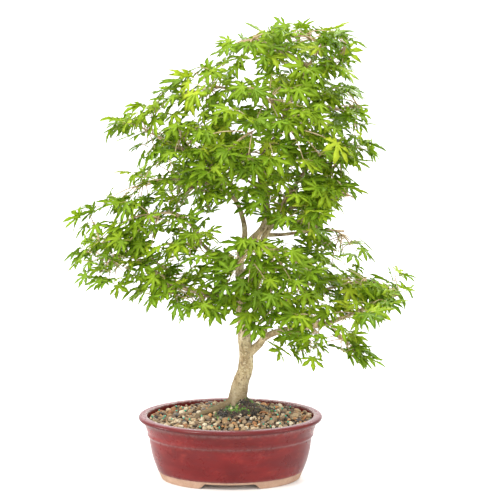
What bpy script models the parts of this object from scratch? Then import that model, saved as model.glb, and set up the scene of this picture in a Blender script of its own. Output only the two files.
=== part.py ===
"""Japanese maple bonsai in an oval glazed pot, as separate closed solids.

The tree is seen from its front along +Y, with +X to the right.  Everything is laid out from the
middle of the pot's foot on Z = 0, and the whole is then moved so that the middle of its bounding
box stands over the origin.  Sizes are in metres; the routes of the wood are in millimetres.
"""
import math
import random

import bmesh
import bpy
from mathutils import Matrix, Vector
from mathutils.bvhtree import BVHTree

MM = 0.001
CLEARANCE = 0.3 * MM           # gap between pieces that rest on or in each other
WELD = 0.01 * MM               # distance within which a mesh's own points are one point

# ---- Pot -----------------------------------------------------------------------------------
POT_WIDTH = 306 * MM           # across the rim, outside
POT_DEPTH = 236 * MM
POT_HEIGHT = 107 * MM
RIM_WIDTH = 14.5 * MM          # the flat top of the rim
RIM_THICKNESS = 10 * MM
NECK_INSET = 10.5 * MM         # outside of the wall just under the rim, in from the rim's edge
BELT_HEIGHT = 30 * MM          # the upright belt between the rim and the ridge
BELT_BATTER = 4.5 * MM         # how much the belt leans in over its height
RIDGE_RELIEF = 2.4 * MM        # step from the belt in to the body below it
FOOT_INSET = 37 * MM           # outside of the foot at the ground, in from the rim's edge
BODY_BULGE = 5 * MM            # how far the body swells out of a straight line to the foot
WALL = 8 * MM
FLOOR = 9 * MM
FOOT_HEIGHT = 10 * MM          # ground to the underside of the pot's floor
FOOT_RING = 13 * MM            # width of the foot ring
FOOT_CUTOUT_WIDTH = 96 * MM    # the opening in the foot, front and back, at the ground
FOOT_CUTOUT_HEIGHT = 9.5 * MM
DRAIN_RADIUS = 13 * MM
DRAIN_SPACING = 120 * MM       # between the two drain holes
WIRE_HOLE_RADIUS = 3 * MM
WIRE_HOLE_SPACING = 52 * MM
POT_SEGMENTS = 36

# ---- Drainage screens, their clips and the root tie ------------------------------------------
SCREEN_SIDE = 40 * MM
SCREEN_THICKNESS = 1.2 * MM
SCREEN_HOLE = 7 * MM
SCREEN_PITCH = 10 * MM
CLIP_WIRE = 0.8 * MM           # radius
CLIP_SPREAD = 9 * MM           # how far each leg is splayed out under the floor
TIE_WIRE = 1 * MM              # radius
TIE_RISE = 42 * MM             # how high the tie's ends stand in the soil

# ---- Soil, gravel and moss -------------------------------------------------------------------
FILL_BELOW_RIM = 5 * MM        # gravel surface at the wall, below the rim's top
GRAVEL_DEPTH = 9 * MM
MOUND_HEIGHT = 14 * MM         # the surface rises towards the trunk
MOUND_RADIUS = 62 * MM
MOSS_THICKNESS = 5 * MM
MOSS_RADIUS = 34 * MM
SURFACE_BUMP = 0.9 * MM

# ---- Leaves ----------------------------------------------------------------------------------
LEAF_LENGTH = 44 * MM
LEAF_THICKNESS = 2.2 * MM
STALK_LENGTH = 17 * MM
STALK_TAPER = 2.2              # the stalk would end in a point at this many times its length
TWIG_RADIUS = 1.7 * MM
LEAF_GAP = 0.8 * MM            # kept between the leaves of neighbouring shoots
# Round the blade from its left side: (degrees, share of length) of each notch and lobe tip.
LEAF_OUTLINE = ((-150, 0.07), (-88, 0.58), (-58, 0.38), (-38, 0.88), (-19, 0.46),
                (0, 1.0), (19, 0.46), (38, 0.88), (58, 0.38), (88, 0.58), (150, 0.07))
LEAF_REDRAWS = 20              # most times that a shoot's leaves are drawn
OFF_RING = 0.07                # a leaf's joint sits this share of a step off the stem's ring
AT_WALL = 0.39                 # share of the pot's width beyond which a fill's points touch the wall
PUSHED_OUT = 1.02              # how far a fill's copy is pushed into the wall before it is cut
LEAF_HEART = 0.2               # thickest point of the blade, as a share of its length
LEAF_DROOP = 0.16

# ---- Wood: each route is (radius at its start, radius at its end, points in mm) ---------------
WOOD_DATUM = 102               # mm: height of the gravel at the wall that the routes are drawn for
TRUNK_FOOT = (13, 14)          # middle of the trunk where it leaves the soil, mm
WOOD = {
    "trunk": (15.5, 9.0, ((12, 14, 92), (13, 14, 119), (13, 14, 141), (17, 14, 162), (24, 13, 179),
                          (28, 12, 199), (25, 11, 222), (24, 10, 239), (22, 8, 264), (20, 6, 290),
                          (21, 5, 312))),
    "left_leader": (7.5, 1.8, ((21, 6, 300), (16, 2, 333), (16, -2, 363), (21, -5, 385),
                               (38, -7, 403), (52, -8, 418), (58, -8, 433), (60, -6, 449),
                               (58, -2, 465), (52, 2, 486), (49, 4, 511), (53, 2, 534),
                               (65, -2, 555), (83, -6, 578), (89, -4, 605), (102, 0, 632),
                               (115, 4, 655), (127, 4, 682), (146, 0, 713), (155, -2, 730))),
    "right_leader": (7.0, 2.0, ((20, 5, 302), (29, 9, 321), (38, 14, 334), (43, 18, 355),
                                (46, 20, 373), (52, 20, 392), (62, 20, 412), (76, 24, 434),
                                (89, 28, 454), (102, 34, 478), (119, 38, 503), (138, 40, 526),
                                (156, 38, 543))),
    "low_right": (6.5, 2.0, ((27, 12, 206), (46, 8, 222), (58, 2, 237), (84, -10, 250),
                             (116, -18, 256), (155, -20, 263), (192, -16, 276), (226, -10, 290),
                             (256, -4, 303))),
    "low_right_rise": (3.6, 1.8, ((58, 2, 237), (59, 10, 252), (74, 22, 272), (106, 34, 292),
                                  (150, 40, 308), (190, 36, 319), (226, 28, 331))),
    "low_left": (5.0, 1.8, ((20, 6, 296), (-10, -2, 305), (-43, -10, 313), (-82, -14, 324),
                            (-119, -14, 346), (-152, -8, 368), (-179, 0, 389), (-204, 4, 403))),
    "second_left": (4.2, 1.8, ((16, 0, 352), (-2, -14, 363), (-29, -28, 382), (-48, -36, 402),
                               (-59, -38, 424), (-76, -34, 441), (-100, -28, 452))),
    "upper_left": (4.6, 1.8, ((21, -5, 386), (24, 6, 412), (20, 16, 435), (10, 22, 460),
                              (-11, 26, 482), (-30, 26, 509), (-46, 22, 531), (-70, 16, 544),
                              (-98, 8, 554), (-124, 2, 573))),
    "mid_left": (3.0, 1.8, ((-11, 26, 482), (-40, 36, 491), (-77, 44, 495), (-114, 46, 493),
                            (-142, 42, 485))),
    "right_mid": (3.4, 1.8, ((66, 20, 418), (84, 8, 441), (117, -10, 461), (154, -22, 471),
                             (186, -26, 480))),
    "right_low_mid": (3.2, 1.8, ((58, 20, 405), (88, 34, 404), (124, 46, 407), (158, 52, 409),
                                 (190, 52, 407))),
    "crown_left": (3.0, 1.8, ((89, -4, 605), (65, -12, 626), (33, -18, 640), (-6, -18, 647),
                              (-36, -12, 653))),
    "crown_right": (3.0, 1.8, ((86, -5, 588), (117, 4, 602), (152, 12, 609), (186, 14, 614),
                               (212, 12, 617))),
    "top_left": (2.6, 1.8, ((127, 4, 682), (103, 10, 695), (78, 12, 708), (57, 10, 719),
                            (38, 4, 729))),
    "top_right": (2.6, 1.8, ((122, 4, 670), (146, 14, 683), (171, 18, 696), (189, 16, 709))),
    "front_mid": (3.0, 1.8, ((52, -8, 418), (52, -34, 418), (46, -58, 410), (38, -82, 400))),
    "front_high": (2.8, 1.8, ((87, -5, 590), (86, -34, 596), (80, -62, 597), (68, -88, 594))),
    "back_low": (4.2, 1.8, ((17, 2, 336), (29, 34, 346), (52, 66, 351), (76, 98, 349),
                            (92, 124, 344))),
    "back_mid": (3.4, 1.8, ((58, -2, 465), (42, 34, 484), (26, 66, 492), (14, 98, 492))),
    "back_high": (2.8, 1.8, ((102, 0, 632), (108, 32, 636), (116, 62, 632), (128, 90, 622))),
}
ROOTS = ((198, 62), (258, 42), (335, 58), (40, 46), (112, 48))  # degrees, mm
ROOT_RADII = (7.5, 2.6)        # mm, at the trunk and at the tip
WOOD_STEP = 1.6                # spacing of a route's points, in diameters of its thick end
LEAST_STEP = 14                # mm, on thin wood
THICK_WOOD = 4.5 * MM          # wood over this radius has eight sides, thinner has six

# ---- Leafy shoots: bough -> the middle of each shoot's cluster of leaves, mm ------------------
SHOOTS = {
    "top_left": ((40, -8, 738), (84, 30, 722)),
    "left_leader": ((118, -42, 676), (122, -6, 744), (24, -64, 560)),
    "top_right": ((186, -6, 732),),
    "crown_left": ((-28, -16, 668), (66, -58, 648)),
    "crown_right": ((152, -42, 632), (204, 8, 642)),
    "back_high": ((110, 96, 650),),
    "front_high": ((40, -104, 596), (104, -100, 588)),
    "upper_left": ((-132, -4, 596), (-72, -44, 592), (-46, 34, 574), (-10, -52, 548)),
    "mid_left": ((-148, 16, 500), (-96, 70, 512), (-60, -14, 498)),
    "back_mid": ((2, 112, 524),),
    "right_leader": ((112, 90, 540), (176, -24, 560), (214, 40, 536), (92, -62, 512)),
    "right_mid": ((190, -44, 498), (132, -28, 470)),
    "right_low_mid": ((150, 66, 440), (196, 36, 402)),
    "front_mid": ((36, -100, 392), (78, -84, 352)),
    "second_left": ((-122, -52, 450), (-62, -56, 414)),
    "low_left": ((-218, 4, 402), (-186, -46, 384), (-150, 40, 388), (-96, -58, 336),
                 (-100, 42, 348), (-54, -12, 290)),
    "back_low": ((92, 138, 366),),
    "low_right_rise": ((122, 82, 332), (178, 70, 316), (226, -4, 344), (110, -30, 330)),
    "low_right": ((272, -2, 316), (224, -60, 296), (158, -72, 290), (146, 20, 238),
                  (188, -10, 228)),
}
LEAVES_PER_SHOOT = 4
SHOOT_LIFT = 0.16              # how high a shoot arches, as a share of its length
PAIR_SPREAD = 58               # degrees between a leaf pair's stalk and the shoot


# ---- Small tools -----------------------------------------------------------------------------

def clear_scene():
    for old in list(bpy.data.objects):
        bpy.data.objects.remove(old, do_unlink=True)


def new_collection(name):
    group = bpy.data.collections.new(name)
    bpy.context.scene.collection.children.link(group)
    return group


def material(name, colour, roughness, coat=0.0):
    finish = bpy.data.materials.new(name)
    finish.use_nodes = True
    shader = finish.node_tree.nodes["Principled BSDF"]
    shader.inputs["Base Color"].default_value = (*colour, 1.0)
    shader.inputs["Roughness"].default_value = roughness
    shader.inputs["Coat Weight"].default_value = coat
    finish.diffuse_color = (*colour, 1.0)
    return finish


def add_piece(name, mesh, finish, group, smooth_angle=None):
    """Puts a finished mesh into the part as one named object."""
    mesh.name = name
    mesh.materials.clear()
    mesh.materials.append(finish)
    if smooth_angle is not None:
        mesh.shade_smooth()
        mesh.set_sharp_from_angle(angle=math.radians(smooth_angle))
    piece = bpy.data.objects.new(name, mesh)
    group.objects.link(piece)
    return piece


def mesh_from_bmesh(shape, name):
    mesh = bpy.data.meshes.new(name)
    shape.to_mesh(mesh)
    shape.free()
    return mesh


def evaluated_mesh(source):
    """The object's mesh after its modifiers, as a new mesh."""
    bpy.context.view_layer.update()
    depsgraph = bpy.context.evaluated_depsgraph_get()
    return bpy.data.meshes.new_from_object(source.evaluated_get(depsgraph))


def weld(mesh, split=False):
    """Joins the mesh's doubled points, turns its faces out and may split them into triangles."""
    shape = bmesh.new()
    shape.from_mesh(mesh)
    bmesh.ops.remove_doubles(shape, verts=shape.verts, dist=WELD)
    if split:
        bmesh.ops.triangulate(shape, faces=shape.faces)
    bmesh.ops.recalc_face_normals(shape, faces=shape.faces)
    shape.to_mesh(mesh)
    shape.free()
    return mesh


def is_closed(mesh):
    shape = bmesh.new()
    shape.from_mesh(mesh)
    closed = all(len(edge.link_faces) == 2 for edge in shape.edges)
    closed = closed and all(vertex.is_manifold for vertex in shape.verts)
    shape.free()
    return closed


def island(start):
    """The points that edges join to the given one."""
    reached, front = {start}, [start]
    while front:
        for edge in front.pop().link_edges:
            for vertex in edge.verts:
                if vertex not in reached:
                    reached.add(vertex)
                    front.append(vertex)
    return reached


def largest_body(mesh):
    """Drops the offcuts that a cut leaves beside the main body."""
    shape = bmesh.new()
    shape.from_mesh(mesh)
    left, bodies = set(shape.verts), []
    while left:
        bodies.append(island(next(iter(left))))
        left -= bodies[-1]
    bodies.sort(key=len)
    for offcut in bodies[:-1]:
        bmesh.ops.delete(shape, geom=list(offcut), context="VERTS")
    shape.to_mesh(mesh)
    shape.free()
    return mesh


def boolean(mesh, tools, operation):
    """The mesh joined with, or cut by, all the tool meshes at once."""
    host = bpy.data.objects.new("host", mesh)
    bpy.context.scene.collection.objects.link(host)
    group = new_collection("tools")
    helpers = [bpy.data.objects.new("tool", tool) for tool in tools]
    for helper in helpers:
        group.objects.link(helper)
    step = host.modifiers.new("boolean", "BOOLEAN")
    step.operation = operation
    step.operand_type = "COLLECTION"
    step.collection = group
    step.solver = "EXACT"
    result = weld(evaluated_mesh(host), split=True)
    for helper in helpers + [host]:
        bpy.data.objects.remove(helper, do_unlink=True)
    bpy.data.collections.remove(group)
    return result


def smooth_route(points, radii, step):
    """Points along a Catmull-Rom curve through the given ones, about a step apart, and radii."""
    knots = [Vector(point) for point in points]
    padded = [2 * knots[0] - knots[1], *knots, 2 * knots[-1] - knots[-2]]
    route = [knots[0]]
    for before, here, there, after in zip(padded, padded[1:], padded[2:], padded[3:]):
        pieces = max(1, round((there - here).length / step))
        for k in range(1, pieces + 1):
            t = k / pieces
            route.append(0.5 * (2 * here + (there - before) * t
                                + (2 * before - 5 * here + 4 * there - after) * t ** 2
                                + (3 * here - before - 3 * there + after) * t ** 3))
    lengths = [0.0]
    for a, b in zip(route, route[1:]):
        lengths.append(lengths[-1] + (b - a).length)
    start, end = radii
    return route, [start + (end - start) * run / lengths[-1] for run in lengths]


def tube(route, radii, grow=0.0, resolution=2):
    """A closed round tube along the route: a POLY curve with a bevel and welded caps."""
    curve = bpy.data.curves.new("tube", "CURVE")
    curve.dimensions = "3D"
    curve.bevel_depth = 1.0
    curve.bevel_resolution = resolution
    curve.use_fill_caps = True
    spline = curve.splines.new("POLY")
    spline.points.add(len(route) - 1)
    for knot, point, radius in zip(spline.points, route, radii):
        knot.co = (*point, 1.0)
        knot.radius = radius + grow
    guide = bpy.data.objects.new("tube", curve)
    bpy.context.scene.collection.objects.link(guide)
    mesh = evaluated_mesh(guide)
    bpy.data.objects.remove(guide, do_unlink=True)
    bpy.data.curves.remove(curve)
    return weld(mesh)


def bvh_of(mesh):
    return BVHTree.FromPolygons([vertex.co for vertex in mesh.vertices],
                                [list(face.vertices) for face in mesh.polygons])


# ---- Pot -------------------------------------------------------------------------------------

def oval(mesh):
    """Turns a round of POT_WIDTH into the pot's oval, with walls of the same thickness all round."""
    narrower = (POT_WIDTH - POT_DEPTH) / 2
    full = POT_WIDTH / 2 - FOOT_INSET - FOOT_RING
    for vertex in mesh.vertices:
        radius = math.hypot(vertex.co.x, vertex.co.y)
        if radius > WELD:
            vertex.co.y *= 1 - narrower * min(1.0, radius / full) / radius
    return mesh


def turned(profile, name):
    """A profile of (radius, height), outer side from top to bottom, turned about Z and made oval."""
    shape = bmesh.new()
    corners = [shape.verts.new((radius, 0.0, height)) for radius, height in profile]
    for a, b in zip(corners, corners[1:]):
        shape.edges.new((a, b))
    if profile[-1][0] > WELD:
        shape.edges.new((corners[-1], corners[0]))
    guide = bpy.data.objects.new(name, mesh_from_bmesh(shape, name))
    bpy.context.scene.collection.objects.link(guide)
    screw = guide.modifiers.new("turn", "SCREW")
    screw.steps = screw.render_steps = POT_SEGMENTS
    screw.use_merge_vertices = True
    screw.merge_threshold = WELD
    mesh = evaluated_mesh(guide)
    bpy.data.objects.remove(guide, do_unlink=True)
    return oval(weld(mesh))


RIM_RADIUS = POT_WIDTH / 2
RIDGE_TOP = POT_HEIGHT - RIM_THICKNESS - BELT_HEIGHT
FLOOR_TOP = FOOT_HEIGHT + FLOOR


def outer_inset(height):
    """Inset of the body's outside from the rim's edge, below the ridge: a line with a swell."""
    top_inset = NECK_INSET + BELT_BATTER + RIDGE_RELIEF
    share = 1 - height / RIDGE_TOP
    return top_inset + (FOOT_INSET - top_inset) * share - BODY_BULGE * math.sin(math.pi * share)


def inner_radius(height):
    """Inside of the wall at a height above the pot's floor."""
    under_rim = POT_HEIGHT - RIM_THICKNESS
    straight = RIM_RADIUS - RIM_WIDTH - 1 * MM
    if height >= under_rim:
        return straight
    behind_belt = RIM_RADIUS - NECK_INSET - BELT_BATTER - WALL
    if height >= RIDGE_TOP:
        share = (under_rim - height) / BELT_HEIGHT
        return straight + (behind_belt - straight) * min(1.0, 1.6 * share)
    wall = RIM_RADIUS - outer_inset(height) - WALL
    return min(behind_belt, wall)


def pot_profile():
    """From the middle of the floor up the inside, over the rim, down the outside and under."""
    edge = RIM_RADIUS
    top = POT_HEIGHT
    profile = [(0.0, FLOOR_TOP)] + inside_profile(top - RIM_THICKNESS, FLOOR_TOP, 0.0)[::-1]
    profile += [(edge - RIM_WIDTH, top - 0.6 * MM), (edge - RIM_WIDTH + 2 * MM, top),
                (edge - 3 * MM, top), (edge - 0.8 * MM, top - 1.4 * MM), (edge, top - 4 * MM),
                (edge - 0.4 * MM, top - 7 * MM), (edge - 3 * MM, top - RIM_THICKNESS + 0.5 * MM),
                (edge - NECK_INSET, top - RIM_THICKNESS - 1 * MM),
                (edge - NECK_INSET - BELT_BATTER + 0.6 * MM, RIDGE_TOP + 3.5 * MM),
                (edge - NECK_INSET - BELT_BATTER + 1.4 * MM, RIDGE_TOP + 1.2 * MM)]
    for share in (0.0, 0.2, 0.4, 0.6, 0.8):
        height = RIDGE_TOP * (1 - share)
        profile.append((edge - outer_inset(height), height))
    foot = edge - FOOT_INSET
    profile += [(foot, 0.0), (foot - FOOT_RING, 0.0),
                (foot - FOOT_RING, FOOT_HEIGHT), (0.0, FOOT_HEIGHT)]
    return profile


def inside_profile(top_height, bottom_height, gap):
    """The pot's inside, outer side from top to bottom, kept a gap inside the wall."""
    heights = [top_height]
    for height in (POT_HEIGHT - RIM_THICKNESS, RIDGE_TOP + 0.4 * BELT_HEIGHT, RIDGE_TOP,
                   0.65 * RIDGE_TOP, FLOOR_TOP + 8 * MM):
        if bottom_height + MM < height < top_height - MM:
            heights.append(height)
    profile = [(inner_radius(height) - gap, height) for height in heights]
    low = max(bottom_height, FLOOR_TOP)
    corner = 6 * MM if bottom_height <= FLOOR_TOP + gap else 0.0
    profile.append((inner_radius(low) - gap - corner, bottom_height))
    return profile


def drain_places():
    return (-DRAIN_SPACING / 2, DRAIN_SPACING / 2)


def cylinder(radius, low, high, x, y=0.0, segments=24):
    shape = bmesh.new()
    bmesh.ops.create_cone(shape, cap_ends=True, segments=segments, radius1=radius, radius2=radius,
                          depth=high - low, matrix=Matrix.Translation((x, y, (low + high) / 2)))
    return mesh_from_bmesh(shape, "cylinder")


def box(size, centre):
    shape = bmesh.new()
    bmesh.ops.create_cube(shape, size=1.0,
                          matrix=Matrix.Translation(centre) @ Matrix.Diagonal((*size, 1.0)))
    return mesh_from_bmesh(shape, "box")


def foot_cutter():
    """Slopes up at both ends and runs through the foot ring, front and back."""
    half = FOOT_CUTOUT_WIDTH / 2
    outline = [(-half, -MM), (half, -MM), (half, 0.0), (half - 4 * MM, 0.55 * FOOT_CUTOUT_HEIGHT),
               (half - 12 * MM, FOOT_CUTOUT_HEIGHT), (-half + 12 * MM, FOOT_CUTOUT_HEIGHT),
               (-half + 4 * MM, 0.55 * FOOT_CUTOUT_HEIGHT), (-half, 0.0)]
    curve = bpy.data.curves.new("foot_cutter", "CURVE")
    curve.dimensions = "2D"
    curve.fill_mode = "BOTH"
    curve.extrude = POT_DEPTH / 2
    spline = curve.splines.new("POLY")
    spline.points.add(len(outline) - 1)
    spline.use_cyclic_u = True
    for knot, (x, z) in zip(spline.points, outline):
        knot.co = (x, z, 0.0, 1.0)
    guide = bpy.data.objects.new("foot_cutter", curve)
    bpy.context.scene.collection.objects.link(guide)
    mesh = evaluated_mesh(guide)
    mesh.transform(Matrix.Rotation(math.radians(90), 4, "X"))
    bpy.data.objects.remove(guide, do_unlink=True)
    return weld(mesh)


def make_pot(group, cutters):
    shell = turned(pot_profile(), "pot")
    tools = {"foot_cutout": foot_cutter()}
    for number, x in enumerate(drain_places()):
        tools[f"drain_{number}"] = cylinder(DRAIN_RADIUS, 0.5 * FOOT_HEIGHT, 2 * FLOOR_TOP, x)
        tools[f"wire_hole_{number}"] = cylinder(WIRE_HOLE_RADIUS, 0.5 * FOOT_HEIGHT, 2 * FLOOR_TOP,
                                                math.copysign(WIRE_HOLE_SPACING / 2, x), segments=12)
    pot = add_piece("pot", shell, material("red_glaze", (0.26, 0.045, 0.035), 0.18, 0.6), group, 32)
    for name, mesh in tools.items():
        cutter = bpy.data.objects.new(name + "_cutter", mesh)
        cutters.objects.link(cutter)
        cutter.hide_render = True
        cutter.display_type = "WIRE"
        cut = pot.modifiers.new(name, "BOOLEAN")
        cut.operation = "DIFFERENCE"
        cut.object = cutter
    return pot


# ---- Screens, clips and tie --------------------------------------------------------------------

def make_screen(name, x, finish, group):
    middle = FLOOR_TOP + CLEARANCE + SCREEN_THICKNESS / 2
    plate = box((SCREEN_SIDE, SCREEN_SIDE, SCREEN_THICKNESS), (x, 0.0, middle))
    holes = [box((SCREEN_HOLE, SCREEN_HOLE, 3 * SCREEN_THICKNESS),
                 (x + column * SCREEN_PITCH, row * SCREEN_PITCH, middle))
             for column in (-1, 0, 1) for row in (-1, 0, 1)]
    add_piece(name, boolean(plate, holes, "DIFFERENCE"), finish, group)


def make_clip(name, x, finish, group):
    """A staple over the screen's middle, through its holes and the drain, splayed under the floor."""
    over = FLOOR_TOP + 2 * CLEARANCE + SCREEN_THICKNESS + CLIP_WIRE
    under = FOOT_HEIGHT - CLEARANCE - CLIP_WIRE
    leg = SCREEN_PITCH
    half = [(leg + CLIP_SPREAD, under - 0.4 * MM), (leg + 2.6 * MM, under), (leg, under + 2 * MM),
            (leg, over - 2 * MM), (leg - 1.5 * MM, over)]
    route = [Vector((x - side, 0.0, z)) for side, z in half]
    route += [Vector((x + side, 0.0, z)) for side, z in reversed(half)]
    add_piece(name, tube(route, [CLIP_WIRE] * len(route)), finish, group, 60)


def tie_route():
    """Under the floor between the wire holes, up through them and into the root ball."""
    x = WIRE_HOLE_SPACING / 2
    under = FOOT_HEIGHT - CLEARANCE - TIE_WIRE
    half = [(x - 10 * MM, FLOOR_TOP + TIE_RISE), (x - 3 * MM, FLOOR_TOP + 0.7 * TIE_RISE),
            (x, FLOOR_TOP + 0.4 * TIE_RISE), (x, under + 3 * MM), (x - 3 * MM, under)]
    return [Vector((-side, 0.0, z)) for side, z in half] + \
           [Vector((side, 0.0, z)) for side, z in reversed(half)]


# ---- Soil, gravel, moss --------------------------------------------------------------------------

def trunk_foot():
    return Vector((TRUNK_FOOT[0] * MM, TRUNK_FOOT[1] * MM))


def mound(x, y):
    away = (Vector((x, y)) - trunk_foot()).length / MOUND_RADIUS
    return MOUND_HEIGHT * math.exp(-away * away)


def bump(x, y):
    """Small unevenness, as loose grit lies."""
    return SURFACE_BUMP * (math.sin(211 * x + 3 * math.sin(97 * y)) + math.sin(187 * y + 131 * x)) / 2


def filling(name, top_height, bottom_height, uneven):
    """A solid that fills the pot from wall to wall, flat below and rising to the mound on top."""
    wall = inside_profile(top_height, bottom_height, CLEARANCE)
    profile = [(share * wall[0][0], top_height) for share in (0.0, 0.2, 0.42, 0.7)] + wall
    profile.append((0.0, bottom_height))
    mesh = turned(profile, name)
    for vertex in mesh.vertices:
        x, y, z = vertex.co
        if abs(z - top_height) < WELD:
            vertex.co.z += mound(x, y) + uneven * bump(x, y)
    return weld(mesh, split=True)


def raised(mesh):
    """A copy that stands a gap higher, with its wall pushed out, for cutting what lies on it."""
    copy = mesh.copy()
    for vertex in copy.vertices:
        vertex.co.z += CLEARANCE
        if math.hypot(vertex.co.x / POT_WIDTH, vertex.co.y / POT_DEPTH) > AT_WALL:
            vertex.co.x *= PUSHED_OUT
            vertex.co.y *= PUSHED_OUT
    return copy


def moss_cushion(gravel_top):
    """A low uneven cushion round the trunk's foot; its underside is cut to the gravel later."""
    foot = trunk_foot()
    shape = bmesh.new()
    bmesh.ops.create_cone(shape, cap_ends=True, segments=20, radius1=1.0, radius2=1.0, depth=2.0)
    for _ in range(2):
        top = [face for face in shape.faces if face.normal.z > 0.9 and len(face.verts) > 4]
        bmesh.ops.inset_region(shape, faces=top, thickness=0.24)
    bmesh.ops.triangulate(shape, faces=shape.faces)
    for vertex in shape.verts:
        radius = math.hypot(vertex.co.x, vertex.co.y)
        angle = math.atan2(vertex.co.y, vertex.co.x)
        edge = MOSS_RADIUS * (1 + 0.16 * math.sin(3 * angle + 1) + 0.1 * math.sin(5 * angle))
        x = foot.x + radius * edge * math.cos(angle)
        y = foot.y + radius * edge * math.sin(angle)
        ground = gravel_top + mound(x, y)
        under = -0.4 * GRAVEL_DEPTH
        over = MOSS_THICKNESS - (MOSS_THICKNESS + 1.5 * SURFACE_BUMP) * radius ** 4
        vertex.co = (x, y, ground + (over if vertex.co.z > 0 else under))
    return mesh_from_bmesh(shape, "moss_cushion")


# ---- Wood --------------------------------------------------------------------------------------

def planted(point):
    """A point of the tree in metres, lifted with the gravel's surface."""
    return Vector(point) * MM + Vector((0, 0, POT_HEIGHT - FILL_BELOW_RIM - WOOD_DATUM * MM))


def wood_routes():
    routes = {}
    for name, (start, end, points) in WOOD.items():
        step = max(2 * start * WOOD_STEP, LEAST_STEP)
        route, radii = smooth_route(points, (start, end), step)
        routes[name] = ([planted(point) for point in route], [radius * MM for radius in radii])
    foot = trunk_foot()
    surface = POT_HEIGHT - FILL_BELOW_RIM + MOUND_HEIGHT
    for number, (heading, reach) in enumerate(ROOTS):
        way = Vector((math.cos(math.radians(heading)), math.sin(math.radians(heading)), 0.0))
        start = Vector((foot.x, foot.y, surface + 14 * MM))
        points = [start, start + way * 13 * MM - Vector((0, 0, 8 * MM)),
                  start + way * 0.5 * reach * MM - Vector((0, 0, 28 * MM)),
                  start + way * reach * MM - Vector((0, 0, 46 * MM))]
        radii = [radius * MM for radius in ROOT_RADII]
        route, radii = smooth_route(points, radii, 2 * radii[0])
        routes[f"root_{number}"] = (route, radii)
    return routes


def wood_tube(route, radii, grow=0.0):
    return tube(route, radii, grow, 2 if radii[0] > THICK_WOOD else 1)


# ---- Leafy shoots --------------------------------------------------------------------------------

def nearest_on(route, target):
    """Index of the route's point nearest to the target, a little back towards its start."""
    gaps = [(point - target).length for point in route]
    nearest = gaps.index(min(gaps))
    back = 0.3 * gaps[nearest]
    run = 0.0
    while nearest > 1 and run < back:
        run += (route[nearest] - route[nearest - 1]).length
        nearest -= 1
    return nearest


def shoot_route(start, heading, target, lift, swing):
    """A bow from the bough to the middle of the cluster, leaving along the bough's heading."""
    reach = target - start
    side = reach.cross(Vector((0, 0, 1))).normalized() * swing * reach.length
    rise = Vector((0, 0, lift * reach.length))
    first = start + 0.3 * reach + 0.1 * reach.length * heading + rise + side
    second = start + 0.72 * reach + rise + 0.6 * side
    count = max(3, round(reach.length / (18 * MM)))
    route = []
    for i in range(count + 1):
        t = i / count
        route.append(start * (1 - t) ** 3 + 3 * first * t * (1 - t) ** 2
                     + 3 * second * t * t * (1 - t) + target * t ** 3)
    return route


def leaf_frame(joint, heading, face):
    """Matrix with X along the leaf, Z out of its upper face and its origin at the stalk's end."""
    across = face.cross(heading).normalized()
    upper = heading.cross(across).normalized()
    turn = Matrix((heading, across, upper)).transposed().to_4x4()
    return Matrix.Translation(joint) @ turn


def leaf(frame, length, stalk, grow=0.0):
    """A lobed blade on its stalk: a flat sphere of one ring, drawn out into lobes and notches.

    The ring's last point is drawn out behind the blade, and cut off at the stalk's length.
    """
    shape = bmesh.new()
    outline = [(math.radians(angle), share * (length + 2 * grow)) for angle, share in LEAF_OUTLINE]
    bmesh.ops.create_uvsphere(shape, u_segments=len(outline) + 1, v_segments=2, radius=1.0)
    ring = [vertex for vertex in shape.verts if abs(vertex.co.z) < 0.5]
    poles = [vertex for vertex in shape.verts if abs(vertex.co.z) >= 0.5]
    for pole in poles:
        thick = math.copysign(LEAF_THICKNESS / 2 + grow, pole.co.z)
        pole.co = (LEAF_HEART * length, 0.0, thick)
    ring.sort(key=lambda vertex: math.atan2(vertex.co.y, vertex.co.x))
    for vertex, (angle, reach) in zip(ring, outline):
        droop = LEAF_DROOP * reach ** 2 / length
        vertex.co = (reach * math.cos(angle), reach * math.sin(angle), -droop)
    ring[-1].co = (-STALK_TAPER * stalk, 0.0, 0.0)
    geometry = shape.verts[:] + shape.edges[:] + shape.faces[:]
    cut = bmesh.ops.bisect_plane(shape, geom=geometry, plane_co=(-stalk, 0.0, 0.0),
                                 plane_no=(-1.0, 0.0, 0.0), clear_outer=True)
    rim = [part for part in cut["geom_cut"] if isinstance(part, bmesh.types.BMEdge)]
    bmesh.ops.contextual_create(shape, geom=rim)
    bmesh.ops.recalc_face_normals(shape, faces=shape.faces)
    bmesh.ops.transform(shape, matrix=frame, verts=shape.verts)
    return shape


def tree_of(shape):
    bmesh.ops.triangulate(shape, faces=shape.faces)
    tree = BVHTree.FromBMesh(shape)
    shape.free()
    return tree


class Space:
    """Everything placed so far, for testing that a new stem or leaf touches none of it."""

    def __init__(self):
        self.placed = []

    def add(self, tree, centre, reach):
        self.placed.append((tree, centre, reach))

    def is_clear(self, tree, centre, reach):
        for other, middle, size in self.placed:
            if (middle - centre).length < reach + size and tree.overlap(other):
                return False
        return True


def stem_probe(stem, sizes, start, bough_radius):
    """The stem's outer stretch, grown by the gap that leaves keep, with its middle and reach."""
    free = [(point, size) for point, size in zip(stem, sizes)
            if (point - start).length > bough_radius + 3 * MM]
    if len(free) < 2:
        free = list(zip(stem, sizes))[-2:]
    points = [point for point, _ in free]
    tree = bvh_of(tube(points, [size for _, size in free], LEAF_GAP, 0))
    return tree, (points[0] + points[-1]) / 2, (points[0] - points[-1]).length


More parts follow.
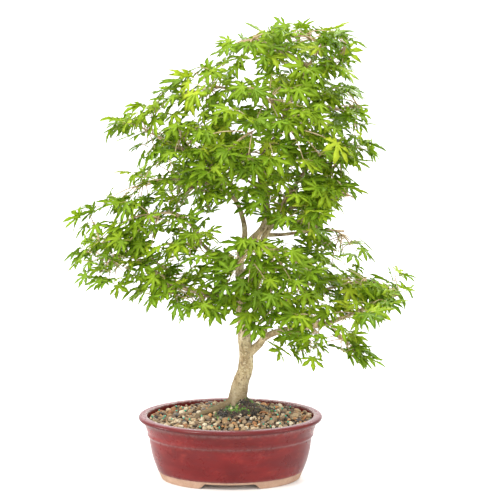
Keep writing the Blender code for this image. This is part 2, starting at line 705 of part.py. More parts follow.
def place_stem(shoot, routes, space, chance):
    """Finds a bow for the shoot's stem that meets only its own bough."""
    route, radii = routes[shoot["bough"]]
    nearest = nearest_on(route, shoot["target"])
    for attempt in range(80):
        shift = (0, 1, -1, 2, -2, 3, -3)[attempt // 6 % 7]
        base = min(len(route) - 1, max(1, nearest + shift))
        start = route[base]
        heading = (route[base] - route[base - 1]).normalized()
        swing = chance.uniform(-0.3, 0.3) if attempt else 0.0
        lift = SHOOT_LIFT + (chance.uniform(-0.3, 0.25) if attempt else 0.0)
        stem = shoot_route(start, heading, shoot["target"], lift, swing)
        sizes = [TWIG_RADIUS * (1.15 - 0.45 * i / (len(stem) - 1)) for i in range(len(stem))]
        probe = stem_probe(stem, sizes, start, radii[base])
        if space.is_clear(*probe):
            space.add(*probe)
            shoot["stem"], shoot["sizes"] = stem, sizes
            return
    raise ValueError("no room for the stem of " + shoot["name"])


def leaf_sites(stem):
    """Places on a stem where leaves join, with the side of the stem that each leaf faces."""
    last = len(stem) - 1
    inner = max(1, round(0.6 * last))
    return ((last, 0), (last, 1), (last, -1), (inner, 1), (inner, -1))[:LEAVES_PER_SHOOT]


def place_leaves(shoot, space, chance):
    stem = shoot["stem"]
    shoot["leaves"] = []
    for index, side in leaf_sites(stem):
        node = stem[index].lerp(stem[index - 1], OFF_RING)
        along = (stem[index] - stem[index - 1]).normalized()
        across = along.cross(Vector((0, 0, 1))).normalized()
        for attempt in range(30):
            spread = math.radians(PAIR_SPREAD) * side + chance.uniform(-0.5, 0.5)
            heading = along * math.cos(spread) + across * math.sin(spread)
            heading.z = chance.uniform(-0.75, 0.15)
            heading.normalize()
            face = Vector((chance.uniform(-0.4, 0.4) + 0.3 * heading.x,
                           chance.uniform(-0.5, 0.2) + 0.3 * heading.y, 1.0)).normalized()
            length = LEAF_LENGTH * chance.uniform(0.82, 1.12)
            stalk = STALK_LENGTH * chance.uniform(0.7, 1.25)
            frame = leaf_frame(node + heading * stalk, heading, face)
            heart = frame @ Vector((LEAF_HEART * length, 0.0, 0.0))
            tree = tree_of(leaf(frame, length, stalk - 3.5 * TWIG_RADIUS, LEAF_GAP))
            if space.is_clear(tree, heart, length):
                space.add(tree, heart, length)
                shoot["leaves"].append(leaf(frame, length, stalk))
                break


def shoot_mesh(shoot, wood_cutter):
    """Stem and leaves joined into one solid, seated a gap off the bough it grows from."""
    leaves = [mesh_from_bmesh(shape, "leaf") for shape in shoot["leaves"]]
    stem = tube(shoot["stem"], shoot["sizes"], resolution=0)
    whole = boolean(stem, leaves, "UNION")
    return largest_body(boolean(whole, [wood_cutter], "DIFFERENCE"))


def leafy_shoot(shoot, wood_cutter, space, chance):
    """The shoot's solid; leaves whose joints don't close into one surface are drawn again."""
    placed = len(space.placed)
    for _ in range(LEAF_REDRAWS):
        del space.placed[placed:]
        place_leaves(shoot, space, chance)
        mesh = shoot_mesh(shoot, wood_cutter)
        if is_closed(mesh):
            return mesh
    raise ValueError("the leaves of " + shoot["name"] + " don't join its stem")


# ---- The whole -----------------------------------------------------------------------------------

def main():
    clear_scene()
    group = new_collection("maple_bonsai")
    cutters = new_collection("cutters")
    cutters.hide_render = True

    make_pot(group, cutters)
    mesh_finish = material("screen_mesh", (0.02, 0.02, 0.022), 0.5)
    wire_finish = material("wire", (0.55, 0.54, 0.52), 0.35)
    for side, x in zip(("left", "right"), drain_places()):
        make_screen("drainage_screen_" + side, x, mesh_finish, group)
        make_clip("screen_clip_" + side, x, wire_finish, group)
    tie = tie_route()
    add_piece("root_tie_wire", tube(tie, [TIE_WIRE] * len(tie)), wire_finish, group, 60)

    routes = wood_routes()
    tubes = {name: wood_tube(*route) for name, route in routes.items()}
    cutting = {name: wood_tube(*route, CLEARANCE) for name, route in routes.items()}
    wood = boolean(tubes["trunk"], [mesh for name, mesh in tubes.items() if name != "trunk"],
                   "UNION")
    add_piece("trunk_and_boughs", wood, material("bark", (0.33, 0.22, 0.12), 0.8), group, 50)
    wood_cutter = boolean(cutting["trunk"],
                          [mesh for name, mesh in cutting.items() if name != "trunk"], "UNION")

    gravel_top = POT_HEIGHT - FILL_BELOW_RIM
    soil_top = gravel_top - GRAVEL_DEPTH
    floor = FLOOR_TOP + CLEARANCE
    soil = filling("potting_soil", soil_top, floor, 0.0)
    gravel = boolean(filling("gravel", gravel_top, soil_top - 3 * MM, 1.0), [raised(soil)],
                     "DIFFERENCE")
    moss = boolean(moss_cushion(gravel_top), [raised(gravel)], "DIFFERENCE")
    pockets = []
    for x in drain_places():
        side = SCREEN_SIDE + 2 * CLEARANCE
        tall = SCREEN_THICKNESS + 2 * CLIP_WIRE + 3 * CLEARANCE
        pockets.append(box((side, side, tall + MM), (x, 0.0, floor + (tall - MM) / 2)))
    channel = tube(tie, [TIE_WIRE + CLEARANCE] * len(tie))
    soil = boolean(soil, pockets + [channel, wood_cutter], "DIFFERENCE")
    gravel = boolean(gravel, [wood_cutter], "DIFFERENCE")
    moss = boolean(moss, [wood_cutter], "DIFFERENCE")
    add_piece("potting_soil", soil, material("dark_soil", (0.045, 0.03, 0.02), 0.95), group)
    add_piece("gravel_top_dressing", gravel, material("tan_gravel", (0.62, 0.48, 0.33), 0.85),
              group)
    add_piece("moss_cushion", moss, material("moss", (0.07, 0.12, 0.03), 0.95), group)

    space = Space()
    for name, (route, radii) in routes.items():
        for i in range(0, len(route) - 1, 4):
            stretch, sizes = route[i:i + 5], radii[i:i + 5]
            middle = (stretch[0] + stretch[-1]) / 2
            reach = (stretch[0] - stretch[-1]).length / 2 + sizes[0] + MM
            if len(stretch) > 1:
                space.add(bvh_of(tube(stretch, sizes, LEAF_GAP / 2, 0)), middle, reach)
    chance = random.Random(11)
    shoots = [{"name": f"shoot_{bough}_{number + 1}", "bough": bough,
               "target": planted(target)}
              for bough, targets in SHOOTS.items() for number, target in enumerate(targets)]
    for shoot in shoots:
        place_stem(shoot, routes, space, chance)
    leaf_finish = material("maple_leaf", (0.13, 0.26, 0.03), 0.5)
    for shoot in shoots:
        add_piece(shoot["name"], leafy_shoot(shoot, wood_cutter, space, chance), leaf_finish, group)

    centre_on_origin(group)


def centre_on_origin(group):
    """Hangs every piece on one empty that brings the bounding box's middle over the origin."""
    bpy.context.view_layer.update()
    depsgraph = bpy.context.evaluated_depsgraph_get()
    corners = [Vector(corner) for piece in group.objects
               for corner in piece.evaluated_get(depsgraph).bound_box]
    middle = [(min(corner[axis] for corner in corners) + max(corner[axis] for corner in corners)) / 2
              for axis in (0, 1)]
    base = bpy.data.objects.new("bonsai_base", None)
    bpy.context.scene.collection.objects.link(base)
    base.location = (-middle[0], -middle[1], 0.0)
    for piece in list(bpy.data.objects):
        if piece is not base and piece.parent is None:
            piece.parent = base


main()
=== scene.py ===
"""The looks of the maple bonsai: pot, grit, moss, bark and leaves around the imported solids."""
import math

import bmesh
import bpy
import numpy as np
from mathutils import Matrix, Vector


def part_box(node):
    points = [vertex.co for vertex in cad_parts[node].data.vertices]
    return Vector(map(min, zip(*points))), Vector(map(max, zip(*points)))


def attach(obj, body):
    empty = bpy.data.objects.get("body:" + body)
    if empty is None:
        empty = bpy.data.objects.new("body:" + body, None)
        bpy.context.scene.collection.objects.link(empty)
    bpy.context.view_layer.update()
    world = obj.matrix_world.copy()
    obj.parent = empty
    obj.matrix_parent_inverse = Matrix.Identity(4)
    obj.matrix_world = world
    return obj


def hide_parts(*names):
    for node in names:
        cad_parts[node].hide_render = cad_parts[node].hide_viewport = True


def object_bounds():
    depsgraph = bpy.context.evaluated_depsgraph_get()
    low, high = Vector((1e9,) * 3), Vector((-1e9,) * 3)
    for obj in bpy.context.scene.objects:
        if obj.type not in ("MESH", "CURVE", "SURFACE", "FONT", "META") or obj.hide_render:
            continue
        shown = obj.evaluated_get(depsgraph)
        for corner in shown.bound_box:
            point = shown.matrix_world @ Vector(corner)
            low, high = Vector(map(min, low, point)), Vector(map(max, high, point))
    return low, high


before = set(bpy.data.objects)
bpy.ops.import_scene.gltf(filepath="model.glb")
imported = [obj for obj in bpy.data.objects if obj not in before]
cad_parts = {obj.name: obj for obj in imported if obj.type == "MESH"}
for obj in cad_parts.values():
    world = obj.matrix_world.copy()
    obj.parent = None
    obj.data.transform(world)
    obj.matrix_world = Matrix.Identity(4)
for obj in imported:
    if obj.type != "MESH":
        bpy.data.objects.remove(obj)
CAD_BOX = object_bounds()
CAD_LOW, CAD_HIGH = (np.array(corner) for corner in CAD_BOX)
MM = 0.001
TAU = 2 * math.pi

# ---- Pot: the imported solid's sizes, but for a slimmer lip and a wider foot cut-out ------------
POT_LOW, POT_HIGH = (np.array(corner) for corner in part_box("pot"))
POT_MIDDLE = (POT_LOW + POT_HIGH) / 2
POT_X, POT_Y = POT_MIDDLE[0], POT_MIDDLE[1]
POT_WIDTH, POT_DEPTH, POT_HEIGHT = POT_HIGH - POT_LOW
RIM_WIDTH = 14.5 * MM
RIM_THICKNESS = 8 * MM
NECK_INSET = 8.0 * MM
BELT_HEIGHT = 27 * MM
BELT_BATTER = 6.5 * MM
RIDGE_RELIEF = 2.4 * MM
FOOT_INSET = 37 * MM
BODY_BULGE = 3.6 * MM
WALL = 8 * MM
FOOT_HEIGHT = 10 * MM
FLOOR_TOP = 19 * MM
FOOT_RING = 13 * MM
FOOT_CUTOUT_WIDTH = 103 * MM
FOOT_CUTOUT_HEIGHT = 9.5 * MM
GLAZE_LINE = 13.5 * MM           # where the glaze stops above the bare clay foot
DRAIN_RADIUS = 13 * MM
DRAIN_SPACING = 120 * MM
WIRE_HOLE_RADIUS = 3 * MM
WIRE_HOLE_SPACING = 52 * MM
RIDGE_TOP = POT_HEIGHT - RIM_THICKNESS - BELT_HEIGHT
HAND_WAVE = 0.35 * MM            # how far the wall wanders, as on a pot finished by hand
PROFILE_POINTS = 190
POT_SIDES = 288

# ---- Ground ----------------------------------------------------------------------------------
GRAVEL_TOP = POT_HEIGHT - 5 * MM
MOUND_HEIGHT = 14 * MM
MOUND_RADIUS = 62 * MM
TRUNK_FOOT = np.array([POT_X + 13 * MM, POT_Y + 14 * MM])
# Layers of stones from the lowest up, in mm: count, spacing, sinking, smallest and largest radius.
STONE_LAYERS = ((600, 6.8, 5.0, 3.2, 4.8), (410, 7.4, 1.2, 2.6, 5.8), (520, 5.0, 0.8, 1.2, 2.6))
SHADED_GAP_SHARE = 0.6                 # of the lowest layer's stones, painted nearly black as shade in the gaps between stones
PRILL_COUNT = 36
PRILL_RADII = (1.3, 1.8)         # mm
MOSS_RADIUS = 49 * MM
CRUMB_COUNT = 3400
CRUMB_RADII = (0.9, 2.4)         # mm
HEAP_OFF = (11 * MM, -11 * MM)   # the heap of moss lies this far off the trunk's foot
HEAP_HEIGHT = 13 * MM
HEAP_RADIUS = 21 * MM

# ---- Wood: each route is (radius at its start, radius at its end, points in mm) ----------------
WOOD = {
    "trunk": (15.0, 9.0, (
        (12, 14, 92), (12, 14, 119), (14, 14, 141), (19, 14, 162), (24, 13, 179), (26, 12, 199),
        (24, 11, 222), (23, 10, 239), (22, 8, 264), (20, 6, 290), (21, 5, 312))),
    "left_leader": (7.5, 1.8, (
        (21, 6, 300), (16, 2, 333), (16, -2, 363), (21, -5, 385), (38, -7, 403), (52, -8, 418),
        (58, -8, 433), (60, -6, 449), (58, -2, 465), (52, 2, 486), (49, 4, 511), (53, 2, 534),
        (65, -2, 555), (83, -6, 578), (89, -4, 605), (102, 0, 632), (115, 4, 655), (127, 4, 682),
        (146, 0, 713), (155, -2, 730))),
    "right_leader": (7.0, 2.0, (
        (20, 5, 302), (29, 9, 321), (38, 14, 334), (43, 18, 355), (46, 20, 373), (52, 20, 392),
        (62, 20, 412), (76, 24, 434), (89, 28, 454), (102, 34, 478), (119, 38, 503), (138, 40, 526),
        (156, 38, 543))),
    "low_right": (6.5, 2.0, (
        (27, 12, 206), (46, 8, 222), (58, 2, 237), (84, -10, 250), (116, -18, 256), (155, -20, 263),
        (192, -16, 276), (226, -10, 290), (256, -4, 303))),
    "low_right_rise": (3.6, 1.8, (
        (58, 2, 237), (59, 10, 252), (74, 22, 272), (106, 34, 292), (150, 40, 308), (190, 36, 319),
        (226, 28, 331))),
    "low_left": (5.0, 1.8, (
        (20, 6, 296), (-10, -2, 305), (-43, -10, 313), (-82, -14, 324), (-119, -14, 346),
        (-152, -8, 368), (-179, 0, 389), (-204, 4, 403))),
    "second_left": (4.2, 1.8, (
        (16, 0, 352), (-2, -14, 363), (-29, -28, 382), (-48, -36, 402), (-59, -38, 424),
        (-76, -34, 441), (-100, -28, 452))),
    "upper_left": (4.6, 1.8, (
        (21, -5, 386), (24, 6, 412), (20, 16, 435), (10, 22, 460), (-11, 26, 482), (-30, 26, 509),
        (-46, 22, 531), (-70, 16, 544), (-98, 8, 554), (-124, 2, 573))),
    "mid_left": (3.0, 1.8, (
        (-11, 26, 482), (-40, 36, 491), (-77, 44, 495), (-114, 46, 493), (-142, 42, 485))),
    "right_mid": (3.4, 1.8, (
        (66, 20, 418), (84, 8, 441), (117, -10, 461), (154, -22, 471), (186, -26, 480))),
    "right_low_mid": (3.2, 1.8, (
        (58, 20, 405), (88, 34, 404), (124, 46, 407), (158, 52, 409), (190, 52, 407))),
    "crown_left": (3.0, 1.8, (
        (89, -4, 605), (65, -12, 626), (33, -18, 640), (-6, -18, 647), (-36, -12, 653))),
    "crown_right": (3.0, 1.8, (
        (86, -5, 588), (117, 4, 602), (152, 12, 609), (186, 14, 614), (212, 12, 617))),
    "top_left": (2.6, 1.8, (
        (127, 4, 682), (103, 10, 695), (78, 12, 708), (57, 10, 719), (38, 4, 729))),
    "top_right": (2.6, 1.8, (
        (122, 4, 670), (146, 14, 683), (171, 18, 696), (189, 16, 709))),
    "front_mid": (3.0, 1.8, (
        (52, -8, 418), (52, -34, 418), (46, -58, 410), (38, -82, 400))),
    "front_high": (2.8, 1.8, (
        (87, -5, 590), (86, -34, 596), (80, -62, 597), (68, -88, 594))),
    "back_low": (4.2, 1.8, (
        (17, 2, 336), (29, 34, 346), (52, 66, 351), (76, 98, 349), (92, 124, 344))),
    "back_mid": (3.4, 1.8, (
        (58, -2, 465), (42, 34, 484), (26, 66, 492), (14, 98, 492))),
    "back_high": (2.8, 1.8, (
        (102, 0, 632), (108, 32, 636), (116, 62, 632), (128, 90, 622))),
}
# Surface roots: heading in degrees, reach in mm, and how steeply each dives, as a share.
ROOTS = ((199, 78, 0.84), (250, 44, 1.0), (348, 60, 0.84), (40, 46, 1.0), (112, 48, 1.0))

WOOD_SIDES = ((6, 40), (3.5, 22), (0, 14))      # thicker than this, in mm: sides of the tube

# ---- Leaves ------------------------------------------------------------------------------------
LEAF_LENGTH = 38 * MM
STALK_LENGTH = 17 * MM
# Half of a leaf, lobe by lobe from its tip: (degrees off the leaf's axis, share of its length).
LOBES = ((0, 1.0), (40, 0.88), (80, 0.62), (124, 0.27))
LEAF_THICKNESS = 0.2 * MM        # from the middle plane to a midrib
LIME_SHARE = 0.12                # of the leaves, young and bright
TWIGS_PER_SHOOT = 10
STEM_RADIUS = 1.7 * MM
TWIG_RADIUS = 1.0 * MM
# Leaves along a twig: share of its length, side of the twig and the chance that the leaf is there.
LEAF_PLACES = ((0.62, -1, 0.26), (0.62, 1, 0.26), (1.0, -1, 0.62), (1.0, 1, 0.62), (1.0, 0, 0.92))
PAD_HALF = np.array([64, 58, 42]) * MM      # how far a shoot's twigs reach from its middle
EDGE_ROOM = np.array([40, 40, 8]) * MM      # twig tips keep this far inside the object's box
# The crown's outline seen from the front: height and the leftmost and rightmost leaf tips, in mm.
CROWN = (
    (185, 40, 130), (222, 40, 175), (245, 25, 135), (268, 5, 190), (291, -80, 258),
    (314, -128, 292), (337, -232, 305), (350, -242, 225), (362, -250, 200), (383, -262, 236),
    (410, -260, 196), (452, -250, 180), (475, -200, 184), (498, -180, 190), (521, -160, 200),
    (544, -162, 246), (590, -196, 236), (613, -176, 236), (636, -142, 216), (682, -80, 206),
    (705, -38, 192), (728, 2, 206), (768, 40, 182))
OUTLINE_ROOM = 26 * MM
# Openings between the boughs, seen from the front: x, z and how far twig tips keep off, in mm.
WINDOWS = ((168, 425, 38), (-18, 408, 30), (-50, 470, 22), (236, 350, 30), (-128, 468, 18))
# Twig tips that close the crown between the shoots, in mm; each grows from the nearest shoot.
FILL_TIPS = (
    (-20, -30, 470), (-45, -45, 455), (0, 60, 470), (-35, 80, 440), (-30, -30, 335), (-2, -52, 330),
    (-24, -46, 362), (6, -72, 356), (60, -80, 470), (62, 0, 736), (92, -10, 742), (142, 10, 733),
    (-58, 0, 672), (-34, 14, 676), (-80, 0, 654), (-108, -5, 640), (-104, 12, 624), (-128, 0, 612),
    (-20, -20, 656), (-52, -20, 642), (-76, 20, 628), (-146, 0, 596), (-168, -5, 590),
    (-232, 0, 446), (-212, 12, 454), (-222, -10, 430), (-126, 0, 430), (-98, 20, 440),
    (100, 20, 500), (132, 10, 506), (152, -10, 494), (40, 0, 478), (118, -20, 488), (12, -62, 302),
    (32, -62, 286), (0, -52, 316), (48, -60, 272), (-150, -40, 344), (-124, -30, 352),
    (-100, -30, 340), (-172, -30, 350), (-10, 0, 684), (16, -10, 680), (40, 0, 690), (-40, 10, 626),
    (-12, 0, 620), (12, -20, 614), (-150, 0, 434), (-112, -20, 420), (166, 0, 497), (182, -10, 490))
TREE_AXIS = np.array([POT_X + 55 * MM, POT_Y + 10 * MM, 0.0])

# ---- Camera and lamps --------------------------------------------------------------------------
LENS = 106.4                     # mm, on a sensor 36 mm wide
CAMERA_RIGHT = 0.0325            # of the pot's middle
CAMERA_BACK = 2.4
CAMERA_HEIGHT = 0.72
CAMERA_DIP = 8                   # degrees below level
AIM = (0, 0, 0.4)
WHITE = (1, 1, 1)
# Each lamp's place, target, width, power and colour.
LAMPS = {
    "key": ((-1.5, -1.6, 2.1), AIM, 0.8, 56, (1.0, 0.98, 0.94)),
    "left": ((-2.4, -0.5, 0.5), (0, 0, 0.2), 0.9, 24, WHITE),
    "fill": ((2.0, -1.4, 1.2), AIM, 1.2, 20, WHITE),
    "front": ((0.3, -2.6, 1.1), AIM, 1.6, 18, WHITE),
    "top": ((0.2, 0.1, 2.6), AIM, 1.0, 20, WHITE),
    "back": ((0.8, 1.4, 1.8), AIM, 1.0, 32, WHITE),
}


# ================================== mesh tools ===================================================

class Shape:
    """Points, faces and point attributes of a piece, gathered part by part."""

    def __init__(self):
        self.points, self.faces, self.slots, self.values = [], [], [], {}
        self.count = 0

    def add(self, points, faces, slot=0, **values):
        """Adds points (n, 3) and faces, lists of point numbers; values are one number a point."""
        points = np.asarray(points, float).reshape(-1, 3)
        for group in faces:
            self.faces += (np.asarray(group) + self.count).tolist()
            self.slots += [slot] * len(group)
        for name in set(self.values) | set(values):
            store = self.values.setdefault(name, [np.zeros(self.count)] if self.count else [])
            store.append(np.broadcast_to(values.get(name, 0.0), len(points)).astype(float))
        self.points.append(points)
        self.count += len(points)

    def mesh(self, name):
        """The gathered parts as one mesh, with each value as a point attribute."""
        mesh = bpy.data.meshes.new(name)
        mesh.from_pydata(np.concatenate(self.points).tolist(), [], self.faces)
        mesh.polygons.foreach_set("material_index", self.slots)
        for key, store in self.values.items():
            layer = mesh.attributes.new(key, "FLOAT", "POINT")
            layer.data.foreach_set("value", np.concatenate(store))
        mesh.validate()
        return mesh


def place(name, shape, finishes, replaced=(), sharp=None):
    """Makes the piece's object, gives it its finishes and hangs it on the frame."""
    mesh = shape.mesh(name) if isinstance(shape, Shape) else shape
    mesh.name = name
    for finish in finishes:
        mesh.materials.append(finish)
    mesh.shade_smooth()
    if sharp:
        mesh.set_sharp_from_angle(angle=math.radians(sharp))
    piece = bpy.data.objects.new(name, mesh)
    bpy.context.scene.collection.objects.link(piece)
    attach(piece, "root")
    if replaced:
        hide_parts(*replaced)
    return piece


def grid_faces(rows, columns, wrap=True):
    """Quads of a grid of points numbered row by row; with wrap, each row closes on itself."""
    row, column = np.meshgrid(np.arange(rows - 1), np.arange(columns if wrap else columns - 1),
                              indexing="ij")
    after = (column + 1) % columns
    return np.stack([row * columns + column, row * columns + after,
                     (row + 1) * columns + after, (row + 1) * columns + column],
                    axis=-1).reshape(-1, 4)


def closed_rings(rings, first, last):
    """Rings of points (rings, sides, 3) joined one to the next, closed by a point at each end."""
    count, sides = rings.shape[:2]
    here = np.arange(sides)
    after = (here + 1) % sides
    far = (count - 1) * sides
    poles = count * sides
    start = np.stack([here, after, np.full(sides, poles)], axis=1)
    end = np.stack([far + after, far + here, np.full(sides, poles + 1)], axis=1)
    points = np.concatenate([rings.reshape(-1, 3), [first, last]])
    return points, [grid_faces(count, sides)[:, ::-1], start, end]


def tube(route, radii, sides, swell=None):
    """A tube: at each point of the route, a circle square to it with the radius given there.

    swell is a factor on the radius at each ring and side.  Both ends close in a point.
    """
    route = np.asarray(route, float)
    along = np.gradient(route, axis=0)
    along /= np.linalg.norm(along, axis=1, keepdims=True)
    level = np.eye(3)[np.argmin(np.abs(along).mean(axis=0))]
    across = np.cross(along, level)
    across /= np.linalg.norm(across, axis=1, keepdims=True)
    upward = np.cross(across, along)
    turn = np.arange(sides) / sides * TAU
    ring = (across[:, None, :] * np.cos(turn)[None, :, None]
            + upward[:, None, :] * np.sin(turn)[None, :, None])
    reach = np.asarray(radii, float)[:, None]
    if swell is not None:
        reach = reach * swell
    points = route[:, None, :] + ring * np.broadcast_to(reach, ring.shape[:2])[..., None]
    return closed_rings(points, route[0], route[-1])


def bed(x, y, z, low):
    """A closed bed: its top through the rings of points, and a flat underside at the height low."""
    top = np.stack([x, y, z], axis=-1)
    under = top[::-1].copy()
    under[..., 2] = low
    rings = np.concatenate([top, under])
    return closed_rings(rings, top[0].mean(axis=0), under[-1].mean(axis=0))


def smooth_route(knots, count):
    """A Catmull-Rom curve through the knots, as evenly spaced points."""
    knots = np.asarray(knots, float)
    padded = np.vstack([2 * knots[0] - knots[1], knots, 2 * knots[-1] - knots[-2]])
    t = np.linspace(0, 1, 24, endpoint=False)[None, :, None]
    a, b, c, d = (padded[i:len(padded) - 3 + i, None, :] for i in range(4))
    curve = 0.5 * (2 * b + (c - a) * t + (2 * a - 5 * b + 4 * c - d) * t ** 2
                   + (3 * b - a - 3 * c + d) * t ** 3)
    curve = np.vstack([curve.reshape(-1, 3), knots[-1]])
    run = np.concatenate([[0], np.cumsum(np.linalg.norm(np.diff(curve, axis=0), axis=1))])
    even = np.linspace(0, run[-1], count)
    return np.stack([np.interp(even, run, curve[:, axis]) for axis in range(3)], axis=1)


def waves(points, scale, seed, octaves=3):
    """Soft noise from -1 to 1: sums of sine waves in random directions, finer at each octave."""
    draw = np.random.default_rng(seed)
    total, size = 0.0, 0.0
    for octave in range(octaves):
        ways = draw.normal(size=(5, 3))
        ways *= TAU / scale * 2 ** octave / np.linalg.norm(ways, axis=1, keepdims=True)
        phase = draw.uniform(0, TAU, 5)
        total = total + np.sin(points @ ways.T + phase).mean(axis=-1) / 1.7 ** octave
        size += 1 / 1.7 ** octave
    return total / size * 1.6


# ================================== materials ====================================================

class Finish:
    """A material whose nodes are added by short calls."""

    def __init__(self, name):
        self.material = bpy.data.materials.new(name)
        self.material.use_nodes = True
        self.tree = self.material.node_tree
        self.shader = self.tree.nodes["Principled BSDF"]
        self.output = self.tree.nodes["Material Output"]

    def set(self, **values):
        """Writes constants to the shader's sockets, named with _ for each space."""
        for key, value in values.items():
            self.shader.inputs[key.replace("_", " ")].default_value = value

    def link(self, source, target):
        """Joins an output socket to an input socket."""
        self.tree.links.new(source, target)

    def node(self, kind, **settings):
        """Adds a node of that kind with those settings."""
        made = self.tree.nodes.new(kind)
        for key, value in settings.items():
            setattr(made, key, value)
        return made

    def place(self, scale=(1, 1, 1)):
        """Object coordinates, stretched by a factor along each axis."""
        where = self.node("ShaderNodeTexCoord").outputs["Object"]
        mapping = self.node("ShaderNodeMapping")
        mapping.inputs["Scale"].default_value = scale
        self.link(where, mapping.inputs["Vector"])
        return mapping.outputs["Vector"]

    def noise(self, scale, where=None, detail=4.0, roughness=0.6):
        """Cloudy noise about 0.5, its largest clouds about one over the scale across."""
        made = self.node("ShaderNodeTexNoise")
        made.inputs["Scale"].default_value = scale
        made.inputs["Detail"].default_value = detail
        made.inputs["Roughness"].default_value = roughness
        self.link(where or self.place(), made.inputs["Vector"])
        return made.outputs["Fac"]

    def cells(self, scale):
        """Distance to the nearest of scattered points, so crumbs of about one over the scale."""
        made = self.node("ShaderNodeTexVoronoi")
        made.inputs["Scale"].default_value = scale
        self.link(self.place(), made.inputs["Vector"])
        return made.outputs["Distance"]

    def value(self, name):
        """The piece's point attribute of that name."""
        return self.node("ShaderNodeAttribute", attribute_name=name).outputs["Fac"]

    def ramp(self, source, *stops, sharp=False):
        """stops are (position, colour); colours between them are blended, or not if sharp."""
        made = self.node("ShaderNodeValToRGB")
        band = made.color_ramp
        if sharp:
            band.interpolation = "CONSTANT"
        while len(band.elements) < len(stops):
            band.elements.new(0.5)
        for element, (position, colour) in zip(band.elements, stops):
            element.position = position
            element.color = (*colour, 1.0)
        self.link(source, made.inputs["Fac"])
        return made.outputs["Color"]

    def step(self, source, low, high):
        """0 below low, 1 above high and a straight rise between them."""
        made = self.node("ShaderNodeMapRange")
        made.inputs["From Min"].default_value = low
        made.inputs["From Max"].default_value = high
        self.link(source, made.inputs["Value"])
        return made.outputs["Result"]

    def blend(self, share, below, above):
        """below where the share is 0, above where it is 1, and their mix between."""
        made = self.node("ShaderNodeMix", data_type="RGBA")
        self.feed(made.inputs[0], share)
        self.feed(made.inputs[6], below)
        self.feed(made.inputs[7], above)
        return made.outputs[2]

    def stain(self, body, mask, strength, colour):
        """The colour laid over the body where the mask is 1, at the given strength."""
        return self.blend(self.maths("MULTIPLY", mask, strength), body, colour)

    def feed(self, socket, source):
        """Links the source to the socket, or writes it there if it's a number or a colour."""
        if isinstance(source, bpy.types.NodeSocket):
            self.link(source, socket)
        elif isinstance(source, (int, float)):
            socket.default_value = source
        else:
            socket.default_value = (*source, 1.0)

    def maths(self, operation, first, second=0.0):
        """The operation on two sockets or numbers."""
        made = self.node("ShaderNodeMath", operation=operation)
        self.feed(made.inputs[0], first)
        self.feed(made.inputs[1], second)
        return made.outputs["Value"]

    def colour(self, source):
        """Takes the source as the base colour."""
        self.link(source, self.shader.inputs["Base Color"])

    def rough(self, source):
        """Takes the source as the roughness."""
        self.link(source, self.shader.inputs["Roughness"])

    def bump(self, source, strength, distance):
        """Tilts the normals as if the source raised the surface by up to the distance."""
        made = self.node("ShaderNodeBump")
        made.inputs["Strength"].default_value = strength
        made.inputs["Distance"].default_value = distance
        self.link(source, made.inputs["Height"])
        self.link(made.outputs["Normal"], self.shader.inputs["Normal"])

    def height(self):
        """World height above the ground, from the piece's own coordinates."""
        where = self.node("ShaderNodeTexCoord").outputs["Object"]
        split = self.node("ShaderNodeSeparateXYZ")
        self.link(where, split.inputs["Vector"])
        return split.outputs["Z"]


def red_glaze():
    """Deep red glaze: cloudy in level streaks, a painted mauve reflection on the rim top, grey in
    grooves, grey-brown wear and painted glints on the inner rim edge.
    """
    finish = Finish("red_glaze")
    finish.set(Coat_Weight=0.1, Coat_Roughness=0.05, Specular_IOR_Level=0.27)
    clouds = finish.noise(13, finish.place((1, 1, 2.6)), 5)
    red = finish.ramp(clouds, (0.3, (0.085, 0.003, 0.003)), (0.5, (0.125, 0.004, 0.004)),
                      (0.7, (0.19, 0.01, 0.009)))
    streaks = finish.step(finish.noise(40, finish.place((0.4, 0.4, 4.0)), 4), 0.48, 0.75)
    red = finish.stain(red, streaks, 0.7, (0.12, 0.012, 0.014))
    warm = finish.step(finish.noise(70, finish.place((1, 1, 1.6)), 4), 0.56, 0.74)
    red = finish.stain(red, warm, 0.4, (0.3, 0.035, 0.022))
    red = finish.stain(red, finish.value("lip"), 0.95, (0.07, 0.0015, 0.0015))
    ragged = finish.noise(150, detail=5)
    # Mauve laid over the flat rim top is a painted reflection of the bright surround.
    rim = finish.maths("MULTIPLY", finish.value("rim"), finish.step(ragged, -0.3, 0.75))
    red = finish.stain(red, rim, 0.7, (0.26, 0.085, 0.1))
    grey = finish.ramp(finish.noise(220), (0.35, (0.11, 0.05, 0.045)), (0.65, (0.26, 0.15, 0.14)))
    groove = finish.maths("MULTIPLY", finish.value("groove"), finish.step(ragged, 0.25, 0.62))
    red = finish.stain(red, groove, 0.72, grey)
    # Along the inner rim edge: grey-brown wear, broken by pale painted glints that stand for
    # highlights.
    worn_edge_and_glints = finish.maths("MULTIPLY", finish.value("edge"), finish.step(ragged, 0.38, 0.6))
    glints = finish.ramp(finish.noise(320, detail=3), (0.42, (0.12, 0.06, 0.05)),
                         (0.62, (0.46, 0.37, 0.34)))
    finish.colour(finish.blend(worn_edge_and_glints, red, glints))
    finish.rough(finish.step(finish.noise(40), -1.1, 4.5))
    finish.bump(finish.noise(80, finish.place((1, 1, 1.5)), 3), 0.15, 0.5 * MM)
    return finish.material


def bare_clay():
    """Unglazed buff clay with fine dark grains."""
    finish = Finish("bare_clay")
    finish.set(Roughness=0.85)
    grain = finish.noise(700)
    body = finish.ramp(finish.noise(50), (0.3, (0.36, 0.22, 0.145)), (0.7, (0.5, 0.335, 0.235)))
    finish.colour(finish.blend(finish.step(grain, 0.5, 0.75), body, (0.26, 0.14, 0.09)))
    finish.bump(grain, 0.4, 0.3 * MM)
    return finish.material


